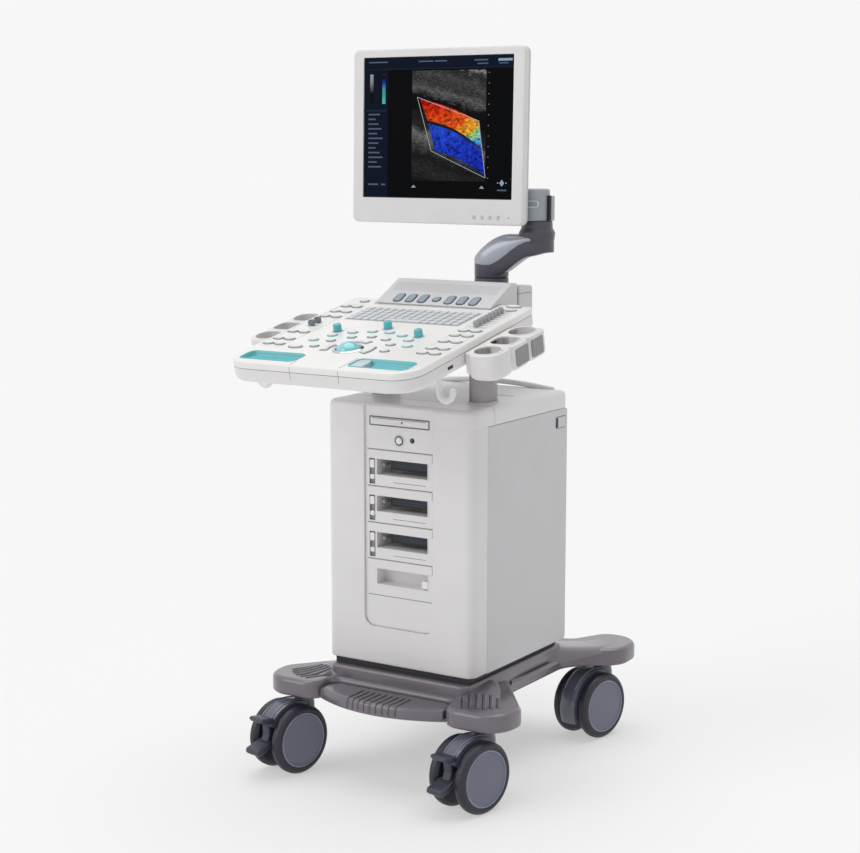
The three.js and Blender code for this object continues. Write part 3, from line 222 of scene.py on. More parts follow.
def circles(profile, segments, centre):
    # point (r, h) of the profile becomes the circle of radius r about the centre, at height h
    profile, t = np.array(profile, float), fullTurn(segments)
    r, h = profile[:, :1], profile[:, 1:]
    return np.stack([centre[0] + r * np.cos(t), centre[1] + r * np.sin(t), h + 0 * t], -1)


def turned(profile, segments=40, centre=(0, 0)):
    return loft(circles(profile, segments, centre))


def hoop(profile, segments=56, centre=(0, 0)):
    # a closed profile that stays clear of the axis
    return weld(loft(circles([*profile, profile[0]], segments, centre), False), segments)


def roundedProfile(points, radius, steps=4):
    # a turned profile from the axis out and back, its inner corners rounded
    points = np.array(points, float)
    ring = rounded(points, [0.15, *np.broadcast_to(radius, len(points) - 2), 0.15], steps)()
    ring[: steps + 1], ring[-steps - 1 :] = points[0], points[-1]
    return ring[steps:-steps]


def tube(path, radius, sides=14):
    # a round section carried along a path, square to it
    path = np.array(path, float)
    along = np.gradient(path, axis=0)
    along /= np.linalg.norm(along, axis=1)[:, None]
    guide = np.array([0.0, 1.0, 0.0]) if abs(along[:, 1]).max() < 0.9 else np.array([0.0, 0.0, 1.0])
    side = np.cross(along, guide)
    side /= np.linalg.norm(side, axis=1)[:, None]
    up = np.cross(side, along)
    t = fullTurn(sides)[:, None]
    r = np.broadcast_to(np.array(radius, float), len(path))[:, None, None]
    return loft(path[:, None] + r * (side[:, None] * np.cos(t) + up[:, None] * np.sin(t)))


def smoothPath(points, count=40):
    # Catmull-Rom curve through the points
    p = np.array(points, float)
    p = np.concatenate([2 * p[:1] - p[1:2], p, 2 * p[-1:] - p[-2:-1]])
    u = np.linspace(0, len(p) - 3, count)
    k = np.minimum(u.astype(int), len(p) - 4)
    t = (u - k)[:, None]
    a, b, c, d = p[k], p[k + 1], p[k + 2], p[k + 3]
    return 0.5 * (2 * b + (c - a) * t + (2 * a - 5 * b + 4 * c - d) * t**2 + (3 * b - a - 3 * c + d) * t**3)


# materials
def linear(code):
    channels = np.array([int(code[i : i + 2], 16) for i in (1, 3, 5)]) / 255
    bent = np.where(channels <= 0.04045, channels / 12.92, ((channels + 0.055) / 1.055) ** 2.4)
    return (*bent.tolist(), 1.0)


def addNode(tree, kind, links=None, **settings):
    made = tree.nodes.new(kind)
    for key, value in settings.items():
        setattr(made, key, value)
    for key, value in (links or {}).items():
        if isinstance(value, bpy.types.NodeSocket):
            tree.links.new(value, made.inputs[key])
        else:
            made.inputs[key].default_value = value
    return made


def emptyMaterial(name):
    made = bpy.data.materials.new(name)
    made.use_nodes = True
    made.node_tree.nodes.clear()
    return made, made.node_tree


def surface(
    name,
    colour,
    roughness,
    metallic=0.0,
    ior=1.5,
    grain=0.8,
    depth=0.03,
    mottle=0.04,
    coat=0.0,
    stretch=(1, 1, 1),
    more=None,
):
    # colour mottled over about 60 mm, roughness over 15 mm, and a moulded or brushed grain as bump
    made, tree = emptyMaterial(name)
    where = addNode(tree, "ShaderNodeTexCoord").outputs["Object"]
    stretched = addNode(tree, "ShaderNodeMapping", {"Vector": where, "Scale": stretch}).outputs["Vector"]
    broad = addNode(tree, "ShaderNodeTexNoise", {"Vector": where, "Scale": 16.0, "Detail": 2.0})
    wear = addNode(tree, "ShaderNodeTexNoise", {"Vector": where, "Scale": 65.0, "Detail": 3.0})
    fine = addNode(tree, "ShaderNodeTexNoise", {"Vector": stretched, "Scale": 1000 / grain, "Detail": 2.0})
    base = np.array(linear(colour)[:3])
    dark, light = (*(base * (1 - mottle)), 1.0), (*np.minimum(base * (1 + mottle), 1), 1.0)
    tone = addNode(tree, "ShaderNodeMix", {0: broad.outputs["Fac"], 6: dark, 7: light}, data_type="RGBA")
    polish = {"Value": wear.outputs["Fac"], "To Min": roughness - 0.05, "To Max": roughness + 0.06}
    rough = addNode(tree, "ShaderNodeMapRange", polish)
    relief = {"Strength": 0.35, "Distance": depth / 1000, "Height": fine.outputs["Fac"]}
    bump = addNode(tree, "ShaderNodeBump", relief)
    sockets = {"Base Color": tone.outputs[2], "Roughness": rough.outputs["Result"]}
    sockets |= {"Normal": bump.outputs["Normal"], "Metallic": metallic, "IOR": ior, "Coat Weight": coat}
    sockets |= more or {}
    shader = addNode(tree, "ShaderNodeBsdfPrincipled", sockets)
    addNode(tree, "ShaderNodeOutputMaterial", {"Surface": shader.outputs["BSDF"]})
    return made


# ABS covers, moulded and painted: a satin skin with a fine spark-eroded grain
coverIvory = surface("painted_abs_ivory", "#e6e4e4", 0.38, ior=1.53)
# the light grey is partly painted shade: darker than the ivory to stand for the shade on covers turned away
# from the key light
greyWithPaintedShade = surface("light_grey_abs_with_painted_shade", "#d0d0d2", 0.42, ior=1.53)
deckWhite = surface("moulded_abs_white", "#f0efed", 0.34, ior=1.53, coat=0.15)
baseTaupe = surface("moulded_abs_taupe", "#6d666f", 0.3, ior=1.53, grain=1.2, coat=0.5)
# dark strips beside the leg ribs: painted shade and painted reflection of the dark cabinet on the rib flanks
ribShadeDark = surface("painted_rib_shade_and_reflection", "#2c2a33", 0.5, ior=1.53, grain=1.2)
plinthBlack = surface("moulded_abs_black", "#1b1b1f", 0.55, ior=1.53, grain=1.2)
# mid grey: in the slot fills and cup windows it is painted shade inside the recesses; the probe pins wear it
# as their own grey
greyAndRecessShade = surface("grey_abs_and_painted_recess_shade", "#8f9092", 0.5, ior=1.53)
latchBlue = surface("moulded_abs_navy", "#2b3b55", 0.42, ior=1.53)
linkGrey = surface("moulded_abs_link_grey", "#cfd0d3", 0.36, ior=1.53)
capGrey = surface("moulded_abs_cap_grey", "#a7abb0", 0.4, ior=1.53)
grilleGrey = surface("grille_grey", "#a9acb0", 0.5, ior=1.53)
seamDark = surface("seam_shadow_grey", "#6f7073", 0.7)
# cast arm parts under a satin lacquer, with a slightly coarser skin
armCharcoal = surface("painted_casting_charcoal", "#42414d", 0.33, grain=1.4, depth=0.05, coat=0.2)
armSilver = surface("painted_casting_silver", "#a9adb6", 0.36, metallic=0.35, grain=1.0)
linkShade = surface("painted_casting_grey", "#a3a9b1", 0.36, grain=1.0)
# metals: drawn tube with fine lines along its length, a bright plated ring, and spangled sheet
drawn = {"grain": 0.5, "stretch": (1, 1, 0.04), "mottle": 0.02}
postAluminium = surface("anodised_aluminium", "#8f8c8d", 0.3, metallic=0.9, **drawn)
chrome = surface("chromed_ring", "#c9ccd0", 0.16, metallic=1.0, grain=2.0, depth=0.005, mottle=0.02)
sheetSteel = surface("galvanised_sheet", "#9fa2a6", 0.38, metallic=0.9, grain=3.0, mottle=0.1)
# silicone rubber key tops, dull and soft-edged
keyGrey = surface("silicone_key_grey", "#d4d7d9", 0.45, ior=1.43)
keyLight = surface("silicone_key_white", "#e6e7e7", 0.42, ior=1.43)
keyBlueGrey = surface("silicone_key_blue_grey", "#93a3aa", 0.42, ior=1.43)
keyTrim = surface("silicone_trim_slate", "#77828a", 0.5, ior=1.43)
# teal trim: glossy polycarbonate, and a polished cast resin ball
teal = surface("moulded_polycarbonate_teal", "#56bcc4", 0.3, ior=1.58, coat=0.3)
tealPale = surface("cast_resin_pale_teal", "#86d3da", 0.14, ior=1.56, coat=0.5, depth=0.005)
# polyurethane tread on nylon cores, with nylon forks and pedals
tyreNavy = surface("polyurethane_tyre", "#22222e", 0.42, grain=1.6, depth=0.06)
discSlate = surface("nylon_wheel_cover", "#6d7082", 0.4, ior=1.53, grain=1.2, depth=0.04)
discRim = surface("nylon_wheel_rim", "#8b90a2", 0.36, ior=1.53)
forkGrey = surface("nylon_fork_grey", "#5f6272", 0.3, ior=1.53, grain=1.2, coat=0.4)
pedalNavy = surface("nylon_pedal_navy", "#343746", 0.42, ior=1.53, grain=1.4, depth=0.06)
connectorBlack = surface("glass_filled_nylon_black", "#17181d", 0.5, ior=1.53)
# coated glass: its low index keeps the dark display free of glare
screenGlass = surface("coated_display_glass", "#07080c", 0.09, ior=1.2, grain=4.0, depth=0.002, mottle=0.01)


# pieces: each rides on a body and may stand for a node of the frame
def addPiece(name, solid, material, slot, body="machine", replaces=None, place=ground, sharp=38):
    points, faces = moved(solid, place)
    mesh = bpy.data.meshes.new(name)
    mesh.from_pydata((points / 1000 + shift).tolist(), [], faces)
    mesh.update()
    mesh.shade_smooth()
    mesh.set_sharp_from_angle(angle=math.radians(sharp))
    made = bpy.data.objects.new(name, mesh)
    bpy.context.scene.collection.objects.link(made)
    mesh.materials.append(material)
    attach(made, body)
    if replaces:
        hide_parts(replaces)
    return made


def onBase(*described, **more):
    return addPiece(*described, place=basePlace, **more)


def onConsole(*described, **more):
    return addPiece(*described, place=console, **more)


def onMonitor(*described, body="monitor", **more):
    return addPiece(*described, body=body, place=monitorPlace, **more)


def carve(piece, cutter, place=ground, sharp=38):
    # takes a solid out of a piece, and keeps the result as the piece's own mesh
    points, faces = moved(cutter, place)
    tool = bpy.data.meshes.new("tool")
    tool.from_pydata((points / 1000 + shift).tolist(), [], faces)
    knife = bpy.data.objects.new("tool", tool)
    bpy.context.scene.collection.objects.link(knife)
    cut = piece.modifiers.new("cut", "BOOLEAN")
    cut.object, cut.operation, cut.solver = knife, "DIFFERENCE", "EXACT"
    whole = bpy.data.meshes.new_from_object(piece.evaluated_get(bpy.context.evaluated_depsgraph_get()))
    piece.modifiers.clear()
    whole.name = piece.data.name
    old, piece.data = piece.data, whole
    bpy.data.meshes.remove(old)
    bpy.data.objects.remove(knife)
    whole.shade_smooth()
    whole.set_sharp_from_angle(angle=math.radians(sharp))


# base: a moulded cover over four round-ended legs, with ribs on the front legs and painted shade beside them
base = {"bottom": 146, "legTop": 180, "platform": 202, "edge": 9, "humpFoot": 174}
ribs = {"count": 6, "pitch": 12.5, "middle": (187, -14), "half": 34}


def baseOutline():
    # x, y and radius of each corner, right half from the front middle to the rear middle, then mirrored
    corners = [(134.5, -16, 21), (134.5, -74, 34), (257, -74, 52), (261, 2, 40), (196, 86, 30)]
    corners += [(148, 150, 40), (148, 372, 60), (238, 442, 52), (232, 539.8, 54), (150, 539.8, 40)]
    corners += [(112, 462, 24), (60, 455, 20)]
    right = np.array(corners, float)
    every = np.concatenate([right, right[::-1] * [-1, 1, 1]])
    return rounded(every[:, :2], every[:, 2], 8)


def hump(start, end, widths, heights, steps=16):
    # ridge from start to end: width and height blend by smoothstep, the sides fall as 1 - |t|^5
    foot = base["humpFoot"]
    s = np.linspace(0, 1, steps)
    ease = s * s * (3 - 2 * s)
    start, end = np.array(start, float), np.array(end, float)
    ahead = (end - start) / np.linalg.norm(end - start)
    side = np.array([ahead[1], -ahead[0]])
    t = np.linspace(-1, 1, 21)
    middle = start + (end - start) * s[:, None]
    wide = widths[0] + (widths[1] - widths[0]) * ease
    high = heights[0] + (heights[1] - heights[0]) * ease
    across = middle[:, None] + side * (wide[:, None] * t)[..., None]
    top = foot + (high - foot)[:, None] * (1 - abs(t) ** 5)
    upper = np.concatenate([across, top[..., None]], -1)
    lower = upper[:, [-1, 0]] * [1, 1, 0] + [0, 0, foot - 3]
    return loft(np.concatenate([upper, lower], 1)[:, ::-1])


legCover = slab(baseOutline(), base["bottom"], base["legTop"], base["edge"], 5, steps=5)
deckPlan = rounded([(-152, -8), (152, -8), (152, 355), (-152, 355)], 18, 6)
platform = slab(deckPlan, base["legTop"] - 6, base["platform"], 6, 1, steps=4)
frontHump = hump((104, 74), (208, -26), (60, 34), (201, 180.5))
rearHump = hump((100, 300), (186, 470), (52, 40), (200, 180.5))
baseShape = joined(legCover, platform, frontHump, flipped(frontHump), rearHump, flipped(rearHump))
onBase("base_cover", baseShape, baseTaupe, "base_taupe", replaces="base_frame")
baseSkin = BVHTree.FromPolygons(baseShape[0].tolist(), baseShape[1])


def topOf(x, y):
    # the height of the base's skin, seen from above
    return baseSkin.ray_cast((x, y, 400.0), (0.0, 0.0, -1.0))[0][2]


def legBars(offset, radius, lift):
    # low bars along each front leg, side by side, laid on the skin and shorter away from the middle
    ahead, side = np.array([0.5, -0.866]), np.array([0.866, 0.5])
    bars = []
    for i in range(ribs["count"]):
        fromMiddle = i - (ribs["count"] - 1) / 2
        middle = np.array(ribs["middle"]) + side * (fromMiddle * ribs["pitch"] + offset)
        half = ahead * (ribs["half"] - 1.3 * fromMiddle**2)
        path = np.linspace(middle - half, middle + half, 11)
        heights = np.array([topOf(x, y) for x, y in path.tolist()])
        bars.append(tube(np.column_stack([path, heights + lift]), radius, 10))
    return onBoth(joined(*bars))


onBase("leg_ribs", legBars(0, 2.4, -0.5), baseTaupe, "base_taupe")
# dark strips a little lower beside each rib: painted shade and painted reflection on the rib flanks
onBase("leg_grooves", legBars(-4.4, 2.2, -1.7), ribShadeDark, "base_taupe")
footrest = {"half": 133.5, "side": -60, "bow": 36, "low": 148, "high": 171, "ridges": 9, "pitch": 13.0}


def footrestPlate():
    # the front edge is a parabola: y = side - 2 t (1 - t) 2 bow, then short steps back to the base
    w, side, bow = footrest["half"], footrest["side"], footrest["bow"]
    t = np.linspace(0, 1, 25)
    front = np.column_stack([w * (2 * t - 1), side - 4 * bow * t * (1 - t)])
    rear = [[w, -40], [128, -24], [116, -16.6], [-116, -16.6], [-128, -24], [-w, -40]]
    plan = np.concatenate([front, rear])
    return slab(lambda d=0.0: drawnIn(plan, d), footrest["low"], footrest["high"], 7, 4, steps=4)


def footrestRidges():
    # each ridge runs forward over the plate and turns down its front edge
    ridges = []
    for i in range(footrest["ridges"]):
        x = (i - (footrest["ridges"] - 1) / 2) * footrest["pitch"]
        front = footrest["side"] - footrest["bow"] * (1 - (x / footrest["half"]) ** 2)
        side = [(-40, 171.4), (front + 9, 171.4), (front + 2.4, 169.6)]
        side += [(front - 0.3, 164), (front - 0.3, 153)]
        ridges.append(tube(smoothPath([(x, y, z) for y, z in side], 18), 1.7, 8))
    return joined(*ridges)


onBase("footrest_plate", footrestPlate(), baseTaupe, "base_taupe", replaces="footrest")
onBase("footrest_ridges", footrestRidges(), baseTaupe, "base_taupe")
rail = smoothPath([(150, 150, 172), (156, 190, 171), (157, 260, 171), (156, 330, 171), (150, 372, 172)], 30)
onBase("side_rails", onBoth(tube(rail, 5.5, 12)), baseTaupe, "base_taupe")
print("base made")

# casters: twin wheels, an arched cover between them, and a brake pedal on the front pair
caster = {"radius": 65, "width": 22, "half": 31, "trail": 39, "turn": -12}
stems = {"front_left": (-199, -23), "front_right": (199, -23)}
stems |= {"rear_left": (-179, 468), "rear_right": (179, 468)}
wheelAxis = placeOf((0, -caster["trail"], caster["radius"]), (0, 1, 0), (0, 0, 1))


def casterPlace(x, y):
    c, s = math.cos(math.radians(caster["turn"])), math.sin(math.radians(caster["turn"]))
    return placeOf((x, y, floorLevel), (c, s, 0), (-s, c, 0))


def facing(profile, side):
    # a profile drawn for the right wheel runs backwards on the left one
    return profile if side > 0 else profile[::-1]


def wheelTyre(side):
    # tread with round shoulders, and a recess where the disc sits
    r, out = caster["radius"], caster["width"] / 2 * side
    profile = [(0, -out), (30, -out), (58, -out), (r, -out * 0.45), (r, out * 0.45), (59, out)]
    profile += [(52.5, out), (51.5, out * 0.72), (30, out * 0.72), (0, out * 0.72)]
    return turned(facing(roundedProfile(profile, [1, 5, 7, 7, 5, 0.8, 0.8, 1], 4), side), 56)


def wheelDisc(side):
    out = caster["width"] / 2 * side
    profile = [(0, out * 0.5), (49, out * 0.5), (49, out * 0.9), (46.5, out * 1.02), (45, out * 0.93)]
    profile += [(20, out * 1.05), (0, out * 1.08)]
    return turned(facing(roundedProfile(profile, [1, 0.8, 1.2, 0.8, 8], 3), side), 56)


def wheelRim(side):
    out = caster["width"] / 2 * side
    profile = [(48.6, 0.6), (51.8, 0.6), (51.8, 0.95), (50.4, 1.06), (48.6, 0.97)]
    return hoop(facing([(r, out * h) for r, h in profile], side))


def forkCover(front):
    # the arch between the wheels: a crowned section carried round the axle, longer at the rear casters
    angle = np.radians(np.linspace(8, 150 if front else 205, 30))
    half, crown, under = 18.0, 71.5, 46.0
    t = np.linspace(-1, 1, 15)
    outer = np.stack([half * t, crown - 3.0 * abs(t) ** 3], -1)
    section = np.concatenate([outer, [[half, under], [-half, under]]])[::-1]
    y = np.cos(angle)[:, None] * section[:, 1] - caster["trail"]
    z = np.sin(angle)[:, None] * section[:, 1] + caster["radius"]
    return loft(np.stack([np.broadcast_to(section[:, 0], y.shape), y, z], -1))


def forkLines():
    lines = []
    for x in (-12.5, 12.5):
        angle = np.radians(np.linspace(12, 146, 26))
        y, z = np.cos(angle) * 71.2 - caster["trail"], np.sin(angle) * 71.2 + caster["radius"]
        lines.append(tube(np.stack([np.full(26, x), y, z], -1), 0.9, 8))
    return joined(*lines)


def forkBody():
    web = slab(rounded([(-57, 49), (-21, 49), (5, 107), (-75, 105)], 6, 4), -12, 12, 1.5, 1.5)
    turretSide = [(0, 106), (20, 106), (20, 120), (17, 140), (17, 145.6), (0, 145.6)]
    turret = turned(roundedProfile(turretSide, [3, 6, 3, 1], 3), 32)
    stem = turned([(0, 145), (9, 145), (9, 168), (0, 168)], 20)
    hub = turned(roundedProfile([(0, -19), (13, -19), (13, 19), (0, 19)], 1.5, 2), 28)
    return joined(moved(web, rightFace), turret, stem, moved(hub, wheelAxis))


def pedal():
    # side outlines in y and z about the pin: a lip above, a pad that scoops forward below, and a web
    y, z = -caster["trail"] - 46, caster["radius"] + 24
    lip = [(-2, 13), (-14, 14), (-33, 19), (-37, 24), (-33, 28), (-14, 26), (-2, 23)]
    web = [(7, -7), (7, 8), (-3, 20), (-13, 18), (-11, -8), (-18, -26), (-10, -34), (-2, -12)]
    pad = [(-8, -16), (-10, -26), (-24, -38), (-40, -43), (-46, -38), (-44, -30), (-28, -25)]
    shapes = []
    for outline, half, radius in ((lip, 18.5, 2.5), (web, 10, 2), (pad, 18.5, 3.5)):
        shapes.append(slab(rounded(np.array(outline) + [y, z], radius, 4), -half, half, 4, 4, 4))
    return moved(joined(*shapes), rightFace)


for name, (x, y) in stems.items():
    stand, front = casterPlace(x, y), name.startswith("front")
    tyres, discs, rims = [], [], []
    for side in (-1, 1):
        hub = placeOf((side * caster["half"], *wheelAxis[0][1:]), (0, 1, 0), (0, 0, 1))
        tyres.append(moved(wheelTyre(side), hub))
        discs.append(moved(wheelDisc(side), hub))
        rims.append(moved(wheelRim(side), hub))
    axle = moved(turned([(0, -30), (6, -30), (6, 30), (0, 30)], 20), wheelAxis)
    wheels = {"body": f"wheels_{name}", "place": stand}
    held = {"body": f"caster_{name}", "place": stand}
    node = f"caster_wheels_{name}"
    addPiece(f"tyres_{name}", joined(*tyres, axle), tyreNavy, "tyre", replaces=node, **wheels)
    addPiece(f"wheel_discs_{name}", joined(*discs), discSlate, "fork_grey", **wheels)
    addPiece(f"wheel_rims_{name}", joined(*rims), discRim, "fork_grey", **wheels)
    addPiece(f"fork_{name}", forkBody(), forkGrey, "fork_grey", replaces=f"caster_fork_{name}", **held)
    addPiece(f"fork_cover_{name}", forkCover(front), forkGrey, "fork_grey", **held)
    addPiece(f"fork_lines_{name}", forkLines(), discRim, "fork_grey", **held)
    if front:
        brake = {"body": f"pedal_{name}", "replaces": f"brake_pedal_{name}", "place": stand}
        addPiece(f"pedal_{name}", pedal(), pedalNavy, "trim_black", **brake)
print("casters made")

# cabinet: an ivory front and lid, grey sides darkened partly by painted shade, and a recessed front panel
cabinet = {"half": 159, "depth": 347, "corner": 20, "front": 51, "hood": 74}
cabinet |= {"bottom": 225, "lid": 679, "top": 712}
fascia = {"half": 74.5, "bottom": 296, "top": 706, "corner": 20, "recess": 5}
post = {"x": 106, "y": 122, "rx": 22, "ry": 34, "low": 560, "high": 827.5}


def cabinetPlan(depth, backCorner):
    w, c = cabinet["half"], cabinet["corner"]
    return rounded([(-w, 0), (w, 0), (w, depth), (-w, depth)], [c, c, backCorner, backCorner], 9)


def fasciaOutline(clear):
    w, c = fascia["half"] + clear, fascia["corner"]
    low, high = fascia["bottom"] - clear, fascia["top"] + clear
    return rounded([(-w, low), (w, low), (w, high), (-w, high)], [c, c, 2, 2], 6)


def postOutline(side, grow, count):
    return ellipse(side * post["x"], post["y"], post["rx"] + grow, post["ry"] + grow, count)


gap = 0.05  # between the front cover and the lid above it
frontShape = slab(cabinetPlan(cabinet["front"], 0.5), cabinet["bottom"], cabinet["lid"] - gap, gap, 4)
frontShell = addPiece("front_shell", frontShape, coverIvory, "cover_ivory", replaces="front_cover")
topShape = slab(cabinetPlan(cabinet["depth"], 12), cabinet["lid"], cabinet["top"], 11, gap, steps=7)
topShell = addPiece("top_shell", topShape, coverIvory, "cover_ivory", replaces="top_cover")
well = moved(slab(fasciaOutline(0.5), -75, 1, 0.3, 0.3), frontFace)
carve(frontShell, well)
carve(topShell, well)
for side in (-1, 1):
    carve(topShell, slab(postOutline(side, 1, 40), 670, 720, 0.3))
w, top = cabinet["half"], cabinet["top"]
hoodEdge = rounded([(-w, 681), (w, 681), (w, top), (-w, top)], [0.3, 0.3, 11, 11], 8)
hoodSeam = band(within(hoodEdge, -0.12), 0.6, -cabinet["hood"] - 0.8, -cabinet["hood"])
addPiece("hood_seam", hoodSeam, seamDark, "panel_grey", place=frontFace)


def sideSkin():
    # a side cover: flat sheet with eased edges, in y and z
    plan = rounded([(51.6, 225), (346.6, 225), (346.6, 678), (51.6, 678)], [1, 8, 5, 1], 4)
    return moved(slab(plan, 150, cabinet["half"], 1.2, 0.5), rightFace)


# side covers in the grey that is partly painted shade
addPiece("side_skin_right", sideSkin(), greyWithPaintedShade, "panel_grey", replaces="side_panel_right")
addPiece("side_skin_left", flipped(sideSkin()), greyWithPaintedShade, "panel_grey", replaces="side_panel_left")
latch = {"y": 320, "z": 653, "width": 35, "height": 20}
latchCap = slab(rectangle(latch["width"], latch["height"], 3, latch["y"], latch["z"]), 157, 160.2, 0.8)
latchBar = slab(rectangle(6, 19, 2, latch["y"] - 15, latch["z"]), 159, 161.0, 0.9)
latchEdge = rectangle(latch["width"] + 3, latch["height"] + 3, 4.5, latch["y"], latch["z"])
latchRing = band(latchEdge, 1.0, 158.7, 159.4)
addPiece("side_latches", onBoth(moved(latchCap, rightFace)), linkGrey, "panel_grey")
addPiece("side_latch_bars", onBoth(moved(latchBar, rightFace)), latchBlue, "trim_black")
addPiece("side_latch_rings", onBoth(moved(latchRing, rightFace)), seamDark, "panel_grey")

handleLine = np.linspace(-134, 134, 33)
handlePath = np.column_stack([handleLine, np.full(33, 334.5), 711.5 + 9 * (1 - (handleLine / 134) ** 2)])
addPiece("lid_handle", tube(handlePath, 5.2, 12), coverIvory, "cover_ivory")
lidMarks = [block(-24, 24, 296, 300, 711.8, 712.5, 0.3), block(40, 120, 210, 211.6, 711.8, 712.4, 0.3)]
addPiece("lid_slot", joined(*lidMarks), seamDark, "trim_black")
collars = [band(postOutline(side, 3.5, 44), 3.2, 711.6, 714) for side in (-1, 1)]
addPiece("post_collars", joined(*collars), linkGrey, "panel_grey")
posts = [slab(postOutline(side, 0, 48), post["low"], post["high"], 1, 1) for side in (-1, 1)]
addPiece("posts", joined(*posts), postAluminium, "arm_silver", replaces="post_frame")

# front panel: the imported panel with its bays, plus headers, latches and connectors
bay = {"top": 626, "pitch": 68, "header": 17, "height": 29, "count": 4, "latch": -59.5}
bayTops = [bay["top"] - bay["pitch"] * i for i in range(bay["count"])]


def onPanel(outline, low, high, edge=0.4):
    # low and high are heights out of the recessed panel's face
    return moved(slab(outline, low - fascia["recess"], high - fascia["recess"], edge), frontFace)


headers, lines, latches, slots = [], [], [], []
for i, top in enumerate(bayTops):
    window = top - bay["header"]
    headers.append(onPanel(rectangle(139, 15.2, 1.5, 1.5, top - 8.4), -0.5, 1.6, 0.7))
    lines.append(onPanel(rectangle(141, 1.1, 0.4, 1, top + 0.6), -0.3, 0.5, 0.2))
    headers.append(moved(band(rectangle(113, 32, 2, 6, window - 14.5), 1.6, -5.2, -4.1), frontFace))
    if i < 3:
        latches.append(onPanel(rectangle(9, 15, 2, bay["latch"], window - 10), -3, 1.2, 0.8))
        latches.append(onPanel(rectangle(9, 9, 2, bay["latch"], window - 34), -3, 0.6, 0.8))
        slots.append(onPanel(rectangle(13, 50, 1, bay["latch"], window - 22), -8, -4.4))
        lines.append(onPanel(rectangle(70, 0.8, 0.3, 22, window - bay["height"] - 12), -0.3, 0.25, 0.1))
lines.append(onPanel(rectangle(139, 1.0, 0.4, 1, bayTops[-1] - bay["pitch"] + 0.6), -0.3, 0.4, 0.2))
addPiece("bay_headers", joined(*headers), coverIvory, "cover_ivory")
addPiece("bay_lines", joined(*lines), seamDark, "panel_grey")
addPiece("bay_latches", joined(*latches), deckWhite, "cover_ivory")
# slot fills sunk in the panel: painted shade inside the latch slots
addPiece("bay_slots", joined(*slots), greyAndRecessShade, "trim_black")
addPiece("parking_stops", block(47, 60, 6, 30, 378, 392, 0.8), deckWhite, "cover_ivory")


def contactRows(top, columns=18, rows=3):
    # small contact wells in rows on a connector's face
    spots = [(-22 + 4.1 * c, top - 6 - 4.4 * r) for c in range(columns) for r in range(rows)]
    return joined(*[onPanel(rectangle(2.6, 2.0, 0.4, x, z), -15.4, -15.0, 0.1) for x, z in spots])


windows = [top - bay["header"] for top in bayTops[:3]]
connectors = [block(-29, 60.5, 20.2, 52, top - 21, top - 2.4, 1.2) for top in windows]
addPiece("probe_connectors", joined(*connectors), connectorBlack, "trim_black", replaces="probe_socket_board")
addPiece("connector_contacts", joined(*[contactRows(top) for top in windows]), latchBlue, "trim_black")
pinSide = roundedProfile([(0, -30), (3.2, -30), (3.2, -12), (0, -12)], 0.8, 2)
pins = [moved(turned(pinSide, 20, (-39, top - 12)), frontFace) for top in windows]
ends = [block(52.5, 59.5, 19.4, 22, top - 17, top - 5, 0.4) for top in windows]
addPiece("probe_pins", joined(*pins, *ends), greyAndRecessShade, "trim_black")

# disc drive, power button and service jack above the bays
driveLine, buttonLine = 679, 646
driveDot = turned([(0, -4.2), (1.6, -4.2), (1.6, -3.2), (0, -3.2)], 16, (6, driveLine))
trayLip = onPanel(rectangle(118, 1.0, 0.3, 0, driveLine + 4.8), 0.4, 0.85, 0.2)
driveMarks = joined(moved(driveDot, frontFace), trayLip)
addPiece("drive_marks", driveMarks, seamDark, "trim_black", body="disc_tray")
ejectKey = onPanel(rectangle(15, 3.6, 1.4, 19, driveLine - 0.5), 0.5, 1.4, 0.4)
addPiece("eject_key", ejectKey, deckWhite, "cover_ivory", body="disc_tray")
driveFrame = band(rectangle(129.5, 17.5, 2, 0, driveLine), 1.7, -5.2, -4.2)
addPiece("drive_frame", driveFrame, seamDark, "panel_grey", place=frontFace)
capSide = roundedProfile([(0, -12), (6.5, -12), (6.5, -2.4), (0, -1.9)], [0.5, 1.4], 4)
powerCap = moved(turned(capSide, 36, (0, buttonLine)), frontFace)
addPiece("power_cap", powerCap, deckWhite, "arm_silver", body="power_button", replaces="power_button")
powerRing = band(circle(0, buttonLine, 8.6, 40), 1.6, -5.4, -3.6)
addPiece("power_ring", powerRing, pedalNavy, "trim_black", place=frontFace)
powerBezel = band(circle(0, buttonLine, 11.2, 44), 2.4, -5.3, -3.9)
addPiece("power_bezel", powerBezel, linkGrey, "panel_grey", place=frontFace)
jackRing = band(circle(28, buttonLine + 2, 4.6, 28), 1.9, -5.4, -4.0)
addPiece("jack_ring", jackRing, connectorBlack, "trim_black", place=frontFace)
print("cabinet made")

# the frame's own nodes, each with its finish
for node, finish in {
    "floor_pan": plinthBlack,
    "rear_panel": greyWithPaintedShade,
    "front_fascia": coverIvory,
    "disc_tray": coverIvory,
    "probe_socket_board": connectorBlack,
    "chassis_frame": sheetSteel,
    "power_supply": sheetSteel,
    "computer_unit": sheetSteel,
    "fan_frame": plinthBlack,
    "fan_rotor": connectorBlack,
    "power_inlet": connectorBlack,
    "mains_switch": plinthBlack,
    "console_carriage": coverIvory,
    "tilt_head": armCharcoal,
}.items():
    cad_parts[node].data.materials[0] = finish

